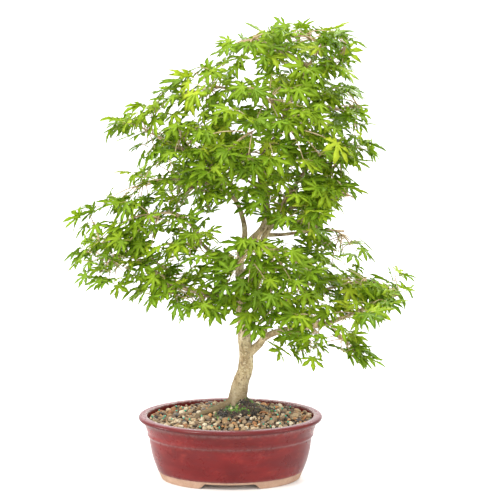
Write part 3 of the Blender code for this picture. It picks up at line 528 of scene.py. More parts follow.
def grit():
    """Stone by stone: each stone's tone picks its rock, with grain and stains within it."""
    finish = Finish("grit")
    finish.set(Roughness=0.8)
    # Tone 0, nearly black, is painted shade for the ground and the deepest stones.
    rock = finish.ramp(
        finish.value("tone"), (0.0, (0.014, 0.009, 0.006)), (0.06, (0.04, 0.038, 0.04)),
        (0.12, (0.1, 0.06, 0.035)), (0.2, (0.3, 0.12, 0.045)), (0.25, (0.2, 0.13, 0.075)),
        (0.38, (0.28, 0.2, 0.12)), (0.54, (0.4, 0.29, 0.17)), (0.66, (0.3, 0.18, 0.085)),
        (0.74, (0.54, 0.42, 0.27)), (0.83, (0.15, 0.14, 0.12)), (0.89, (0.5, 0.24, 0.09)),
        (0.94, (0.66, 0.56, 0.4)), sharp=True)
    grain = finish.noise(700, detail=5)
    rock = finish.stain(rock, finish.step(grain, 0.45, 0.7), 0.55, (0.22, 0.15, 0.1))
    rust = finish.step(finish.noise(240, detail=3), 0.55, 0.7)
    finish.colour(finish.stain(rock, rust, 0.35, (0.6, 0.33, 0.14)))
    finish.bump(grain, 0.5, 0.5 * MM)
    return finish.material


def two_tone(name, scale, low, high, detail=4.0, **values):
    """A finish whose colour drifts between two shades; values go to the shader's sockets."""
    finish = Finish(name)
    finish.set(**values)
    finish.colour(finish.ramp(finish.noise(scale, detail=detail), (0.3, low), (0.7, high)))
    return finish


def prill():
    """Slow feed: sea-green beads with a little shine."""
    return two_tone("prill", 700, (0.01, 0.26, 0.15), (0.05, 0.42, 0.27), 3, Roughness=0.4,
                    Coat_Weight=0.15).material


def soil():
    """Dark potting mix in crumbs."""
    finish = Finish("dark_soil")
    finish.set(Roughness=0.95)
    finish.colour(finish.ramp(finish.noise(300, detail=5), (0.3, (0.012, 0.008, 0.005)),
                              (0.6, (0.05, 0.03, 0.018)), (0.8, (0.11, 0.07, 0.04))))
    finish.bump(finish.cells(260), 0.8, 1.5 * MM)
    return finish.material


def moss():
    """Crumb by crumb, by its tone: black humus, brown bits, moss from deep green to lime, grit."""
    finish = Finish("moss")
    finish.set(Roughness=0.9, Sheen_Weight=0.2)
    finish.colour(finish.ramp(
        finish.value("tone"), (0.0, (0.008, 0.005, 0.003)), (0.3, (0.03, 0.018, 0.009)),
        (0.42, (0.09, 0.045, 0.02)), (0.5, (0.04, 0.04, 0.012)), (0.6, (0.045, 0.1, 0.01)),
        (0.85, (0.12, 0.24, 0.02)), (0.96, (0.22, 0.3, 0.05)), (1.0, (0.5, 0.4, 0.28))))
    finish.bump(finish.noise(900), 0.6, 0.5 * MM)
    return finish.material


def bark():
    """Pale tan bark: long clouds up the wood, dark speckles, pale flecks, and darker towards its
    foot.
    """
    finish = Finish("bark")
    finish.set(Roughness=0.72)
    clouds = finish.noise(36, finish.place((1, 1, 0.4)), 7, 0.65)
    body = finish.ramp(clouds, (0.36, (0.17, 0.11, 0.05)), (0.46, (0.35, 0.25, 0.125)),
                       (0.56, (0.52, 0.41, 0.23)), (0.66, (0.72, 0.62, 0.42)))
    fleck = finish.noise(260, finish.place((1, 1, 0.7)), 5, 0.7)
    body = finish.stain(body, finish.step(fleck, 0.5, 0.62), 0.8, (0.12, 0.075, 0.035))
    pale = finish.step(finish.noise(210, finish.place((1, 1, 1.8)), 4), 0.55, 0.66)
    body = finish.stain(body, pale, 0.7, (0.74, 0.64, 0.44))
    green = finish.step(finish.noise(26, detail=3), 0.5, 0.68)
    body = finish.stain(body, green, 0.3, (0.24, 0.22, 0.06))
    twig = finish.ramp(finish.noise(60, detail=3), (0.3, (0.26, 0.14, 0.075)),
                       (0.5, (0.5, 0.36, 0.2)), (0.7, (0.7, 0.56, 0.34)))
    # The wood turns dark brown towards its foot, over a ragged band low on the trunk.
    ragged_height = finish.maths("ADD", finish.height(), finish.maths("MULTIPLY", fleck, 0.03))
    darker_at_foot = finish.maths("SUBTRACT", 1.0, finish.step(ragged_height, 0.142, 0.19))
    body = finish.stain(body, darker_at_foot, 0.8, (0.1, 0.065, 0.028))
    finish.colour(finish.blend(finish.value("young"), body, twig))
    rise = finish.maths("ADD", finish.noise(130, finish.place((1, 1, 0.5)), 5),
                        finish.maths("MULTIPLY", fleck, 0.6))
    finish.bump(rise, 0.7, 1.0 * MM)
    return finish.material


def leaf_green():
    """Leaf: its tone runs from deep green to lime, with pale veins, and light comes through."""
    finish = Finish("maple_leaf")
    finish.set(Roughness=0.5, Specular_IOR_Level=0.2)
    mottle = finish.maths("MULTIPLY", finish.maths("SUBTRACT", finish.noise(90), 0.5), 0.35)
    tone = finish.maths("ADD", finish.value("tone"), mottle)
    green = finish.ramp(tone, (0.0, (0.13, 0.25, 0.011)), (0.3, (0.21, 0.36, 0.014)),
                        (0.55, (0.29, 0.44, 0.016)), (0.8, (0.39, 0.53, 0.022)),
                        (1.0, (0.55, 0.64, 0.04)))
    vein = finish.step(finish.value("vein"), 0.72, 1.0)
    green = finish.stain(green, vein, 0.55, (0.46, 0.6, 0.12))
    finish.colour(green)
    finish.bump(finish.noise(500, detail=3), 0.25, 0.3 * MM)
    through = finish.node("ShaderNodeBsdfTranslucent")
    finish.link(finish.blend(0.5, green, (0.66, 0.85, 0.03)), through.inputs["Color"])
    mix = finish.node("ShaderNodeMixShader")
    mix.inputs["Fac"].default_value = 0.42
    finish.link(finish.shader.outputs["BSDF"], mix.inputs[1])
    finish.link(through.outputs["BSDF"], mix.inputs[2])
    finish.link(mix.outputs["Shader"], finish.output.inputs["Surface"])
    return finish.material


def stalk_red():
    """Leaf stalk, from red-brown to green by its tone."""
    finish = Finish("leaf_stalk")
    finish.set(Roughness=0.45)
    finish.colour(finish.ramp(finish.value("tone"), (0.0, (0.3, 0.12, 0.05)),
                              (0.3, (0.36, 0.3, 0.08)), (1.0, (0.5, 0.56, 0.12))))
    return finish.material


def black_mesh():
    """Black plastic screen with a fine grain."""
    finish = two_tone("screen_mesh", 300, (0.012, 0.012, 0.013), (0.03, 0.03, 0.032), Roughness=0.5)
    finish.bump(finish.noise(1500, detail=2), 0.2, 0.1 * MM)
    return finish.material


def wire():
    """Dull grey aluminium wire, its roughness uneven."""
    finish = two_tone("wire", 500, (0.45, 0.44, 0.42), (0.62, 0.61, 0.59), Metallic=1.0)
    finish.rough(finish.step(finish.noise(900), -0.5, 2.2))
    return finish.material


# ================================== pot ==========================================================

def outer_inset(height):
    """Inset of the body from the rim's edge below the ridge: a line with a sine swell."""
    top = NECK_INSET + BELT_BATTER + RIDGE_RELIEF
    share = 1 - height / RIDGE_TOP
    return top + (FOOT_INSET - top) * share - BODY_BULGE * np.sin(math.pi * share)


def inner_radius(height):
    """Inside of the wall: straight under the rim, then a wall's thickness inside the body."""
    edge = POT_WIDTH / 2
    straight = edge - RIM_WIDTH - 1 * MM
    behind_belt = edge - NECK_INSET - BELT_BATTER - WALL
    under_rim = POT_HEIGHT - RIM_THICKNESS
    down = np.clip(1.6 * (under_rim - height) / BELT_HEIGHT, 0, 1)
    belt = straight + (behind_belt - straight) * down
    wall = edge - outer_inset(np.clip(height, 0, RIDGE_TOP)) - WALL
    return np.where(height >= RIDGE_TOP, belt, np.minimum(behind_belt, wall))


def oval(radius, turn):
    """A round of the pot's width made oval with even walls: the depth loses a fixed length."""
    narrower = (POT_WIDTH - POT_DEPTH) / 2
    full = POT_WIDTH / 2 - FOOT_INSET - FOOT_RING
    deep = radius - narrower * np.minimum(1, radius / full)
    return POT_X + radius * np.cos(turn), POT_Y + deep * np.sin(turn)


def soft_corners(knots, count):
    """The profile through the knots at even steps, its corners eased over a millimetre."""
    knots = np.asarray(knots, float)
    run = np.concatenate([[0], np.cumsum(np.linalg.norm(np.diff(knots, axis=0), axis=1))])
    steps = 4000
    fine = np.linspace(0, run[-1], steps)
    line = np.stack([np.interp(fine, run, knots[:, axis]) for axis in (0, 1)], axis=1)
    width = max(3, int(1.8 * MM / (run[-1] / steps)) | 1)
    window = np.hanning(width + 2)[1:-1]
    window /= window.sum()
    padded = np.pad(line, ((width // 2, width // 2), (0, 0)), mode="edge")
    eased = np.stack([np.convolve(padded[:, axis], window, mode="valid") for axis in (0, 1)],
                     axis=1)
    bend = np.linalg.norm(np.gradient(np.gradient(eased, axis=0), axis=0), axis=1)
    weight = np.cumsum(0.25 + bend / bend.max())
    weight = (weight - weight[0]) / (weight[-1] - weight[0])
    return np.stack([np.interp(np.linspace(0, 1, count), weight, eased[:, axis])
                     for axis in (0, 1)], axis=1)


def pot_profile():
    """(radius, height) up the inside, over the rim, down the outside and in under the foot."""
    edge, top = POT_WIDTH / 2, POT_HEIGHT
    hub = 0.004                      # the profile's ends stay off the middle by this
    rising = np.linspace(FLOOR_TOP, top - RIM_THICKNESS, 9)
    inside = [(float(inner_radius(height)), height) for height in rising[1:]]
    rim = [(edge - RIM_WIDTH, top - 2.4 * MM), (edge - RIM_WIDTH + 0.6 * MM, top - 0.6 * MM),
           (edge - RIM_WIDTH + 2 * MM, top - 0.2 * MM), (edge - 4.5 * MM, top),
           (edge - 1.6 * MM, top - 0.8 * MM), (edge, top - 3.0 * MM), (edge, top - 4.8 * MM),
           (edge - 1.2 * MM, top - 6.8 * MM), (edge - 4 * MM, top - RIM_THICKNESS),
           (edge - NECK_INSET + 0.5 * MM, top - RIM_THICKNESS - 0.2 * MM),
           (edge - NECK_INSET - 0.3 * MM, top - RIM_THICKNESS - 2.2 * MM)]
    belt = edge - NECK_INSET - BELT_BATTER
    ridge = [(belt - 0.1 * MM, RIDGE_TOP + 6.5 * MM), (belt + 0.5 * MM, RIDGE_TOP + 4 * MM),
             (belt + 0.2 * MM, RIDGE_TOP + 1.8 * MM), (belt - 1.6 * MM, RIDGE_TOP + 0.2 * MM)]
    falling = np.linspace(RIDGE_TOP - 1.5 * MM, GLAZE_LINE, 14)
    body = [(float(edge - outer_inset(height)), height) for height in falling]
    foot = edge - FOOT_INSET
    clay = [(float(edge - outer_inset(GLAZE_LINE)) - 0.7 * MM, GLAZE_LINE - 0.9 * MM),
            (foot + 0.3 * MM, 1 * MM), (foot - 0.8 * MM, 0.0), (foot - FOOT_RING + 0.8 * MM, 0.0),
            (foot - FOOT_RING, 1 * MM), (foot - FOOT_RING - 0.5 * MM, FOOT_HEIGHT - 0.4 * MM)]
    floor = [(0.62 * (foot - FOOT_RING), FOOT_HEIGHT), (hub, FOOT_HEIGHT)]
    middle = [(hub, FLOOR_TOP), (float(inner_radius(FLOOR_TOP)) - 6 * MM, FLOOR_TOP)]
    return soft_corners(middle + inside + rim + ridge + body + clay + floor, PROFILE_POINTS)


def cutout_rise(x):
    """Height of the foot's underside: nil on the feet, rising with soft ends in the cut-outs."""
    off = (FOOT_CUTOUT_WIDTH / 2 - np.abs(x - POT_X)) / (14 * MM)
    ease = np.clip(off, 0, 1)
    return FOOT_CUTOUT_HEIGHT * ease * ease * (3 - 2 * ease)


def along_profile(profile):
    """Masks of the glaze at each point of the profile: rim top for a painted reflection, lip, inner
    edge for wear and painted glints, and grooves.
    """
    radius, below_top = profile[:, 0], profile[:, 1] - POT_HEIGHT
    outside = np.arange(len(profile)) > np.argmax(radius)
    # rim: the flat top of the rim, which gets a painted reflection in the glaze.
    rim = np.clip((below_top + 1.5 * MM) / (0.9 * MM), 0, 1)
    lip = np.clip((below_top + RIM_THICKNESS) / (1.5 * MM), 0, 1) * (1 - rim)
    lip = np.where(outside, lip, 0.5 * lip)
    inner = np.clip(1.6 - (radius - POT_WIDTH / 2 + RIM_WIDTH) / (4.0 * MM), 0, 1)
    # edge: the inner rim edge, for grey-brown wear and painted glints.
    edge = inner * np.exp(-((below_top + 0.6 * MM) / (1.4 * MM)) ** 2)
    groove = np.zeros(len(profile))
    for line, wide, strength in ((POT_HEIGHT - RIM_THICKNESS - 2 * MM, 2.4 * MM, 1.0),
                                 (RIDGE_TOP + 0.6 * MM, 2.6 * MM, 0.6),
                                 (RIDGE_TOP + 22 * MM, 2.0 * MM, 0.3),
                                 (GLAZE_LINE, 2.4 * MM, 0.8)):
        groove = np.maximum(groove, strength * np.exp(-((profile[:, 1] - line) / wide) ** 2))
    return {"rim": rim, "lip": lip, "edge": edge, "groove": np.where(outside, groove, 0.0)}


def make_pot():
    """The profile carried round the oval, waved a little by hand, then closed and drilled."""
    profile = pot_profile()
    turn = np.arange(POT_SIDES) / POT_SIDES * TAU
    radius, height = profile[:, :1], profile[:, 1:]
    x, y = oval(radius, turn[None, :])
    z = np.broadcast_to(height, x.shape).copy()
    hand = waves(np.stack([x, y, z], axis=-1), 70 * MM, 3) * HAND_WAVE
    x, y = x + np.cos(turn) * hand, y + np.sin(turn) * hand
    below = 1 - np.clip(z / FOOT_HEIGHT, 0, 1)
    z += cutout_rise(x) * below * (radius > POT_WIDTH / 2 - FOOT_INSET - FOOT_RING - 2 * MM)
    shape = Shape()
    masks = {name: np.repeat(mask, POT_SIDES) for name, mask in along_profile(profile).items()}
    shape.add(np.stack([x, y, z], axis=-1), [grid_faces(len(profile), POT_SIDES)], 0, **masks)
    mesh = shape.mesh("pot_glazed")
    whole = bmesh.new()
    whole.from_mesh(mesh)
    bmesh.ops.holes_fill(whole, edges=[edge for edge in whole.edges if edge.is_boundary])
    bmesh.ops.recalc_face_normals(whole, faces=whole.faces)
    whole.to_mesh(mesh)
    whole.free()
    pot = drilled(mesh)
    pot.materials.clear()
    middles = np.empty(len(pot.polygons) * 3)
    pot.polygons.foreach_get("center", middles)
    pot.polygons.foreach_set("material_index", (middles[2::3] < GLAZE_LINE).astype(int))
    return pot


def drilled(mesh):
    """Cuts the two drain holes and the two wire holes through the floor."""
    host = bpy.data.objects.new("pot_blank", mesh)
    bpy.context.scene.collection.objects.link(host)
    drills = bmesh.new()
    for reach, spacing, sides in ((DRAIN_RADIUS, DRAIN_SPACING, 48),
                                  (WIRE_HOLE_RADIUS, WIRE_HOLE_SPACING, 24)):
        for side in (-0.5, 0.5):
            middle = Matrix.Translation((POT_X + side * spacing, POT_Y, FLOOR_TOP))
            bmesh.ops.create_cone(drills, cap_ends=True, segments=sides, radius1=reach,
                                  radius2=reach, depth=1.6 * FLOOR_TOP, matrix=middle)
    tool_mesh = bpy.data.meshes.new("drills")
    drills.to_mesh(tool_mesh)
    drills.free()
    tool = bpy.data.objects.new("drills", tool_mesh)
    bpy.context.scene.collection.objects.link(tool)
    cut = host.modifiers.new("drill", "BOOLEAN")
    cut.operation = "DIFFERENCE"
    cut.object = tool
    bpy.context.view_layer.update()
    depsgraph = bpy.context.evaluated_depsgraph_get()
    result = bpy.data.meshes.new_from_object(host.evaluated_get(depsgraph))
    bpy.data.objects.remove(host)
    bpy.data.objects.remove(tool)
    return result


# ================================== ground =======================================================

def ground_height(x, y):
    """The grit's surface: level at the wall, with a bell-shaped mound round the trunk."""
    away = ((x - TRUNK_FOOT[0]) ** 2 + (y - TRUNK_FOOT[1]) ** 2) / MOUND_RADIUS ** 2
    return GRAVEL_TOP + MOUND_HEIGHT * np.exp(-away)


def scatter(count, spacing, seed, inset):
    """Random points in the pot's oval, dropping those nearer than the spacing to an earlier one."""
    draw = np.random.default_rng(seed)
    half = np.array([POT_WIDTH, POT_DEPTH]) / 2 - RIM_WIDTH - inset
    tries = draw.uniform(-1, 1, (count * 6, 2))
    tries = tries[(tries ** 2).sum(axis=1) < 1] * half
    kept = np.empty((0, 2))
    for point in tries:
        if len(kept) == count:
            break
        if not len(kept) or ((kept - point) ** 2).sum(axis=1).min() > spacing ** 2:
            kept = np.vstack([kept, point])
    return kept + (POT_X, POT_Y)


def cube_ball():
    """A ball of 26 points and 24 quads: a cube of 2 by 2 squares a side, blown up to a sphere."""
    ball = bmesh.new()
    bmesh.ops.create_cube(ball, size=2.0)
    bmesh.ops.subdivide_edges(ball, edges=ball.edges[:], cuts=1, use_grid_fill=True)
    ball.verts.ensure_lookup_table()
    points = np.array([vertex.co for vertex in ball.verts])
    faces = np.array([[vertex.index for vertex in face.verts] for face in ball.faces])
    ball.free()
    return points / np.linalg.norm(points, axis=1, keepdims=True), faces


def lumps(places, sizes, seed, flat=0.75, angular=0.8):
    """Balls at the places, planed off by random planes, stretched and turned, as whole arrays.

    flat is a factor on their thickness; angular is how near the middle a plane may cut, as a share.
    """
    planes = 5
    draw = np.random.default_rng(seed)
    ball, faces = cube_ball()
    count = len(places)
    points = np.broadcast_to(ball, (count, *ball.shape)).copy()
    for _ in range(planes):
        ways = draw.normal(size=(count, 1, 3))
        ways /= np.linalg.norm(ways, axis=2, keepdims=True)
        depth = draw.uniform(angular, 1.0, (count, 1))
        over = np.clip((points * ways).sum(axis=2) - depth, 0, None)
        points -= over[..., None] * ways
    points *= draw.uniform((0.8, 0.75, 0.55 * flat), (1.3, 1.1, 1.1 * flat), (count, 3))[:, None, :]
    turn = draw.uniform(0, TAU, count)
    lean = draw.normal(0, 0.45, (count, 2))
    points = rotated(points, 2, turn)
    points = rotated(points, 0, lean[:, 0])
    points = rotated(points, 1, lean[:, 1])
    points = points * np.asarray(sizes)[:, None, None] + places[:, None, :]
    numbers = faces[None] + (np.arange(count) * len(ball))[:, None, None]
    return points.reshape(-1, 3), numbers.reshape(-1, 4), len(ball)


def rotated(points, axis, angle):
    """Turns each group of points about an axis through its middle by its own angle."""
    a, b = (axis + 1) % 3, (axis + 2) % 3
    cosine, sine = np.cos(angle)[:, None], np.sin(angle)[:, None]
    turned = points.copy()
    turned[..., a] = points[..., a] * cosine - points[..., b] * sine
    turned[..., b] = points[..., a] * sine + points[..., b] * cosine
    return turned


def make_grit():
    """A bed of loose stones, layer on layer over a nearly black ground painted as shade between
    them, with the feed prills on top.
    """
    shape = Shape()
    rings, sides = 26, 96
    share = np.linspace(1 / rings, 1.0, rings)[:, None]
    turn = np.arange(sides) / sides * TAU
    x, y = oval(share * (POT_WIDTH / 2 - RIM_WIDTH - 2.2 * MM), turn[None, :])
    # The ground under the stones takes tone 0, nearly black: painted shade seen in the gaps.
    shape.add(*bed(x, y, ground_height(x, y) - 4.5 * MM, GRAVEL_TOP - 9 * MM), 0, tone=0.0)
    draw = np.random.default_rng(21)
    for layer, (count, spacing, sink, small, large) in enumerate(STONE_LAYERS):
        spots = scatter(count, spacing * MM, 31 + layer, 4.5 * MM)
        size = draw.uniform(small, large, len(spots)) * MM
        height = ground_height(spots[:, 0], spots[:, 1]) - sink * MM
        points, faces, each = lumps(np.column_stack([spots, height]), size, 41 + layer)
        tone = draw.uniform(0.06, 1, len(spots))
        # Many of the lowest stones are made nearly black: painted shade deep in the gaps.
        if layer == 0:
            tone = np.where(draw.random(len(spots)) < SHADED_GAP_SHARE, 0.0, tone)
        shape.add(points, [faces], 0, tone=np.repeat(tone, each))
    spots = scatter(PRILL_COUNT, 13 * MM, 77, 8 * MM)
    size = draw.uniform(*PRILL_RADII, len(spots)) * MM
    height = ground_height(spots[:, 0], spots[:, 1]) + 2.6 * MM
    points, faces, each = lumps(np.column_stack([spots, height]), size, 78, 1.25, 0.99)
    shape.add(points, [faces], 1, tone=0.5)
    return shape


def cushion_height(x, y):
    """The grit's surface with a bell-shaped heap of moss against the trunk's right front."""
    away = (x - TRUNK_FOOT[0] - HEAP_OFF[0]) ** 2 + (y - TRUNK_FOOT[1] - HEAP_OFF[1]) ** 2
    return ground_height(x, y) + HEAP_HEIGHT * np.exp(-away / HEAP_RADIUS ** 2)


def moss_spot(share, turn):
    """A place in the moss: a share of the way out to its wavy edge, at the turn."""
    reach = share * MOSS_RADIUS * (1 + 0.2 * np.sin(3 * turn + 1) + 0.12 * np.sin(5 * turn))
    return TRUNK_FOOT[0] + reach * np.cos(turn), TRUNK_FOOT[1] + reach * np.sin(turn) * 0.9


def make_moss():
    """Humus and moss round the trunk: many small crumbs and tufts on a low cushion."""
    draw = np.random.default_rng(5)
    shape = Shape()
    turn = draw.uniform(0, TAU, CRUMB_COUNT)
    share = np.sqrt(draw.uniform(0, 1, CRUMB_COUNT))
    x, y = moss_spot(share, turn)
    rise = 4.2 * MM * (1 - share ** 3) - draw.uniform(0, 2.4, CRUMB_COUNT) * MM
    spots = np.column_stack([x, y, cushion_height(x, y) + rise])
    tone = 0.4 + 0.6 * waves(spots, 22 * MM, 9) + draw.normal(0, 0.12, CRUMB_COUNT)
    tone = np.clip(tone, 0.02, 0.95)
    tone = np.where(draw.random(CRUMB_COUNT) < 0.03, 1.0, tone)
    size = draw.uniform(*CRUMB_RADII, CRUMB_COUNT) * MM
    points, faces, each = lumps(spots, size, 6, 1.1, 0.75)
    shape.add(points, [faces], 0, tone=np.repeat(tone, each))
    rings, sides = 10, 64
    share = np.linspace(1 / rings, 1, rings)[:, None]
    x, y = moss_spot(share, (np.arange(sides) / sides * TAU)[None])
    z = cushion_height(x, y) + 3.0 * MM * (1 - share ** 3) - 2.5 * MM * share
    shape.add(*bed(x, y, z, GRAVEL_TOP - 7 * MM), 0, tone=0.1)
    return shape


# ================================== wood =========================================================

def planted(points):
    """Points given in mm off the pot's middle, in metres in the frame."""
    return np.asarray(points, float) * MM + (POT_X, POT_Y, 0.0)


def wood_routes():
    """Each bough's and root's route and radii, with a point every few millimetres."""
    routes = {}
    for name, (start, end, knots) in WOOD.items():
        length = np.linalg.norm(np.diff(np.asarray(knots, float), axis=0), axis=1).sum()
        route = smooth_route(planted(knots), max(12, int(length / 2.6)))
        radii = np.linspace(start, end, len(route)) * MM
        routes[name] = (route, radii)
    surface = GRAVEL_TOP + MOUND_HEIGHT
    for number, (heading, reach, dive) in enumerate(ROOTS):
        way = np.array([math.cos(math.radians(heading)), math.sin(math.radians(heading)), 0.0])
        start = np.array([*TRUNK_FOOT, surface + 22 * MM])
        knots = [start, start + way * 14 * MM - (0, 0, 14 * MM)]
        for share, drop in ((0.5, 27), (0.8, 34), (1, 46)):
            knots.append(start + way * share * reach * MM - (0, 0, drop * MM * dive))
        route = smooth_route(knots, 34)
        routes[f"root_{number}"] = (route, np.linspace(9.5, 2.8, len(route)) * MM)
    return routes


def make_wood(routes):
    """Tubes along the routes, with uneven girth, a collar at each bough's foot and flutes."""
    shape = Shape()
    for number, (name, (route, radii)) in enumerate(routes.items()):
        sides = next(sides for girth, sides in WOOD_SIDES if radii[0] > girth * MM)
        turn = np.arange(sides) / sides * TAU
        run = np.linspace(0, 1, len(route))[:, None]
        length = np.linalg.norm(np.diff(route, axis=0), axis=1).sum()
        collar = 1 + 0.55 * np.exp(-run * length / (2.2 * radii[0]))
        rings = np.broadcast_to(route[:, None, :], (len(route), sides, 3))
        around = np.stack([np.cos(turn), np.sin(turn)], axis=-1)[None] * radii[0]
        sample = np.concatenate([np.broadcast_to(around, (len(route), sides, 2)),
                                 np.broadcast_to(run[..., None] * length, (len(route), sides, 1))],
                                axis=-1)
        swell = 1 + 0.07 * waves(sample, 26 * MM, 100 + number) \
            + 0.035 * waves(sample * (1, 1, 0.4), 7 * MM, 200 + number)
        if name == "trunk":
            flare = np.exp(-np.clip(rings[..., 2] - GRAVEL_TOP - MOUND_HEIGHT, 0, 1) / (16 * MM))
            swell = swell + 0.32 * flare * (1 + 0.5 * np.sin(5 * turn + 0.6))[None]
            swell = swell + 0.04 * np.sin(3 * turn + 9 * run)
            collar = 1.0
        elif name.startswith("root"):
            collar = 1.0
        points, faces = tube(route, radii, sides, swell * collar)
        young = np.clip((3.0 * MM - radii) / (1.2 * MM), 0, 1)
        tone = np.concatenate([np.repeat(young, sides), young[:1], young[-1:]])
        shape.add(points, faces, 0, young=tone)
    return shape


# ================================== leaves =======================================================

def blade():
    """One flat leaf of length 1 from its stalk: closed, thick at the midribs and thin at the edge.

    Each lobe is two halves along its midrib, edged by a table of toothed stations, and each half
    is two faces above and two below, which meet at the edge.
    Returns points (n, 3) with z as the share of the thickness, faces, the vein value of each point
    (1 on a midrib, 0 at an edge) and each point's distance off its lobe's midrib.
    """
    stations = ((0.44, 0.09), (0.6, 0.142), (0.66, 0.112), (0.8, 0.084))
    stub = ((0.5, 0.11), (0.62, 0.14), (0.7, 0.1), (0.82, 0.07))
    lobes = [(-angle, reach) for angle, reach in LOBES[:0:-1]] + list(LOBES)
    hubs = (0, 1)
    points, vein, off = [(0.0, 0.0, 0.8), (0.0, 0.0, -0.8)], [0.9, 0.9], [0.0, 0.0]

    def point(x, y, z, on_vein, away):
        """Adds a point and gives its number."""
        points.append((x, y, z))
        vein.append(on_vein)
        off.append(away)
        return len(points) - 1

    def polar(angle, reach, on_vein, away=0.0):
        """Adds a point of the middle plane by its angle off the axis and its distance."""
        turn = math.radians(angle)
        return point(reach * math.cos(turn), reach * math.sin(turn), 0.0, on_vein, away)

    notches = []
    for (first, near), (second, far) in zip(lobes, lobes[1:]):
        depth = 0.27 if min(near, far) > 0.3 else 0.16
        notches.append(polar((first + second) / 2, depth * max(near, far), 0.1, 0.1))
    behind = [polar(-168, 0.07, 0.2, 0.03), polar(168, 0.07, 0.2, 0.03)]
    faces = []
    for number, (angle, reach) in enumerate(lobes):
        turn = math.radians(angle)
        axis = np.array([math.cos(turn), math.sin(turn)])
        side = np.array([-axis[1], axis[0]])
        middle = axis * 0.56 * reach
        ribs = point(*middle, 1.0, 1.0, 0.0), point(*middle, -1.0, 1.0, 0.0)
        tip = polar(angle, reach, 0.5)
        for way in (-1, 1):
            beside = number - 1 if way < 0 else number
            start = notches[beside] if 0 <= beside < len(notches) else behind[way > 0]
            line = []
            for share, width in (stub if reach < 0.3 else stations):
                edge = axis * share * reach + side * way * width * min(1.0, 0.3 + 0.8 * reach)
                line.append(point(*edge, 0.0, 0.0, width))
            for hub, rib, up in zip(hubs, ribs, (True, False)):
                for face in ([hub, start, line[0], line[1], rib], [rib, *line[1:], tip]):
                    faces.append(face if up == (way < 0) else face[::-1])
    heel = [[hubs[0], behind[1], behind[0]], [hubs[1], behind[0], behind[1]]]
    return np.array(points), [np.array(faces), np.array(heel)], np.array(vein), np.array(off)


BLADE = blade()


def add_leaves(shape, joints, headings, faces_up, lengths, tones, draw):
    """Sets a blade at each joint: along its heading, faced up, drooping and folded at its ribs."""
    flat, faces, vein, off = BLADE
    count, each = len(joints), len(flat)
    across = np.cross(faces_up, headings)
    across /= np.linalg.norm(across, axis=1, keepdims=True)
    upper = np.cross(headings, across)
    reach = np.linalg.norm(flat[:, :2], axis=1)
    droop = draw.uniform(-0.04, 0.24, (count, 1))
    cup = draw.normal(0.0, 0.12, (count, 1))
    fold = draw.uniform(0.0, 0.7, (count, 1))
    twist = draw.normal(0, 0.14, (count, 1))
    x = np.broadcast_to(flat[:, 0], (count, each))
    y = np.broadcast_to(flat[:, 1], (count, each)) * draw.uniform(0.86, 1.08, (count, 1))
    z = -droop * reach ** 2 + cup * flat[:, 1] ** 2 + fold * off + twist * x * y
    z = z + 0.025 * np.sin(11 * y + draw.uniform(0, TAU, (count, 1))) * reach
    shrink = 1 - 0.4 * np.abs(droop) * reach
    local = np.stack([x * shrink, y * shrink, z], axis=-1) * lengths[:, None, None]
    local[..., 2] += flat[:, 2] * LEAF_THICKNESS
    world = (local[..., :1] * headings[:, None] + local[..., 1:2] * across[:, None]
             + local[..., 2:] * upper[:, None] + joints[:, None])
    groups = [(group[None] + (np.arange(count) * each)[:, None, None]).reshape(-1, group.shape[1])
              for group in faces]
    shape.add(world, groups, 0, tone=np.repeat(tones, each), vein=np.tile(vein, count))


def add_stalks(shape, starts, ends, tones, draw):
    """Four-sided stalks from stem to blade, sagging a little, all rings worked out at once."""
    rings, sides = 4, 4
    count = len(starts)
    share = np.linspace(0, 1, rings)
    reach = ends - starts
    length = np.linalg.norm(reach, axis=1, keepdims=True)
    way = reach / length
    level = np.cross(way, (0.0, 0.0, 1.0))
    level /= np.maximum(np.linalg.norm(level, axis=1, keepdims=True), 1e-6)
    upper = np.cross(level, way)
    arch = (0.1 * length * draw.uniform(0.2, 1.3, (count, 1)))[:, None] * upper[:, None]
    line = starts[:, None] + reach[:, None] * share[None, :, None] \
        + arch * (4 * share * (1 - share))[None, :, None]
    radius = (0.6 - 0.2 * share)[None, :, None, None] * MM
    turn = np.arange(sides) / sides * TAU
    ring = level[:, None, None] * np.cos(turn)[None, None, :, None] \
        + upper[:, None, None] * np.sin(turn)[None, None, :, None]
    points = (line[:, :, None] + ring * radius).reshape(count, -1, 3)
    each = points.shape[1]
    body = grid_faces(rings, sides)[:, ::-1]
    caps = np.array([np.arange(sides), each - 1 - np.arange(sides)])
    offset = (np.arange(count) * each)[:, None, None]
    shape.add(points, [(body + offset).reshape(-1, 4), (caps + offset).reshape(-1, sides)], 1,
              tone=np.repeat(tones, each))


def bow(start, end, lift, count):
    """A stem from start to end: a cubic curve that arches up by lift and comes in level."""
    reach = end - start
    rise = np.array([0, 0, lift * np.linalg.norm(reach)])
    first, second = start + 0.35 * reach + rise, start + 0.75 * reach + rise
    t = np.linspace(0, 1, count)[:, None]
    return start * (1 - t) ** 3 + 3 * first * t * (1 - t) ** 2 + 3 * second * t * t * (1 - t) \
        + end * t ** 3


def unit(ways):
    """Each direction over its length."""
    return ways / np.maximum(np.linalg.norm(ways, axis=-1, keepdims=True), 1e-9)


def within_crown(tips):
    """Whether each tip is inside the crown's outline and the object's box, and off the windows."""
    height, left, right = np.array(CROWN).T * MM
    low = np.interp(tips[:, 2], height, left) + POT_X + OUTLINE_ROOM
    high = np.interp(tips[:, 2], height, right) + POT_X - OUTLINE_ROOM
    boxed = ((tips > CAD_LOW + EDGE_ROOM) & (tips < CAD_HIGH - EDGE_ROOM)).all(axis=1)
    clear = np.array([np.hypot(tips[:, 0] - POT_X - x * MM, tips[:, 2] - z * MM) > reach * MM
                      for x, z, reach in WINDOWS]).all(axis=0)
    return boxed & clear & (tips[:, 0] > low) & (tips[:, 0] < high)


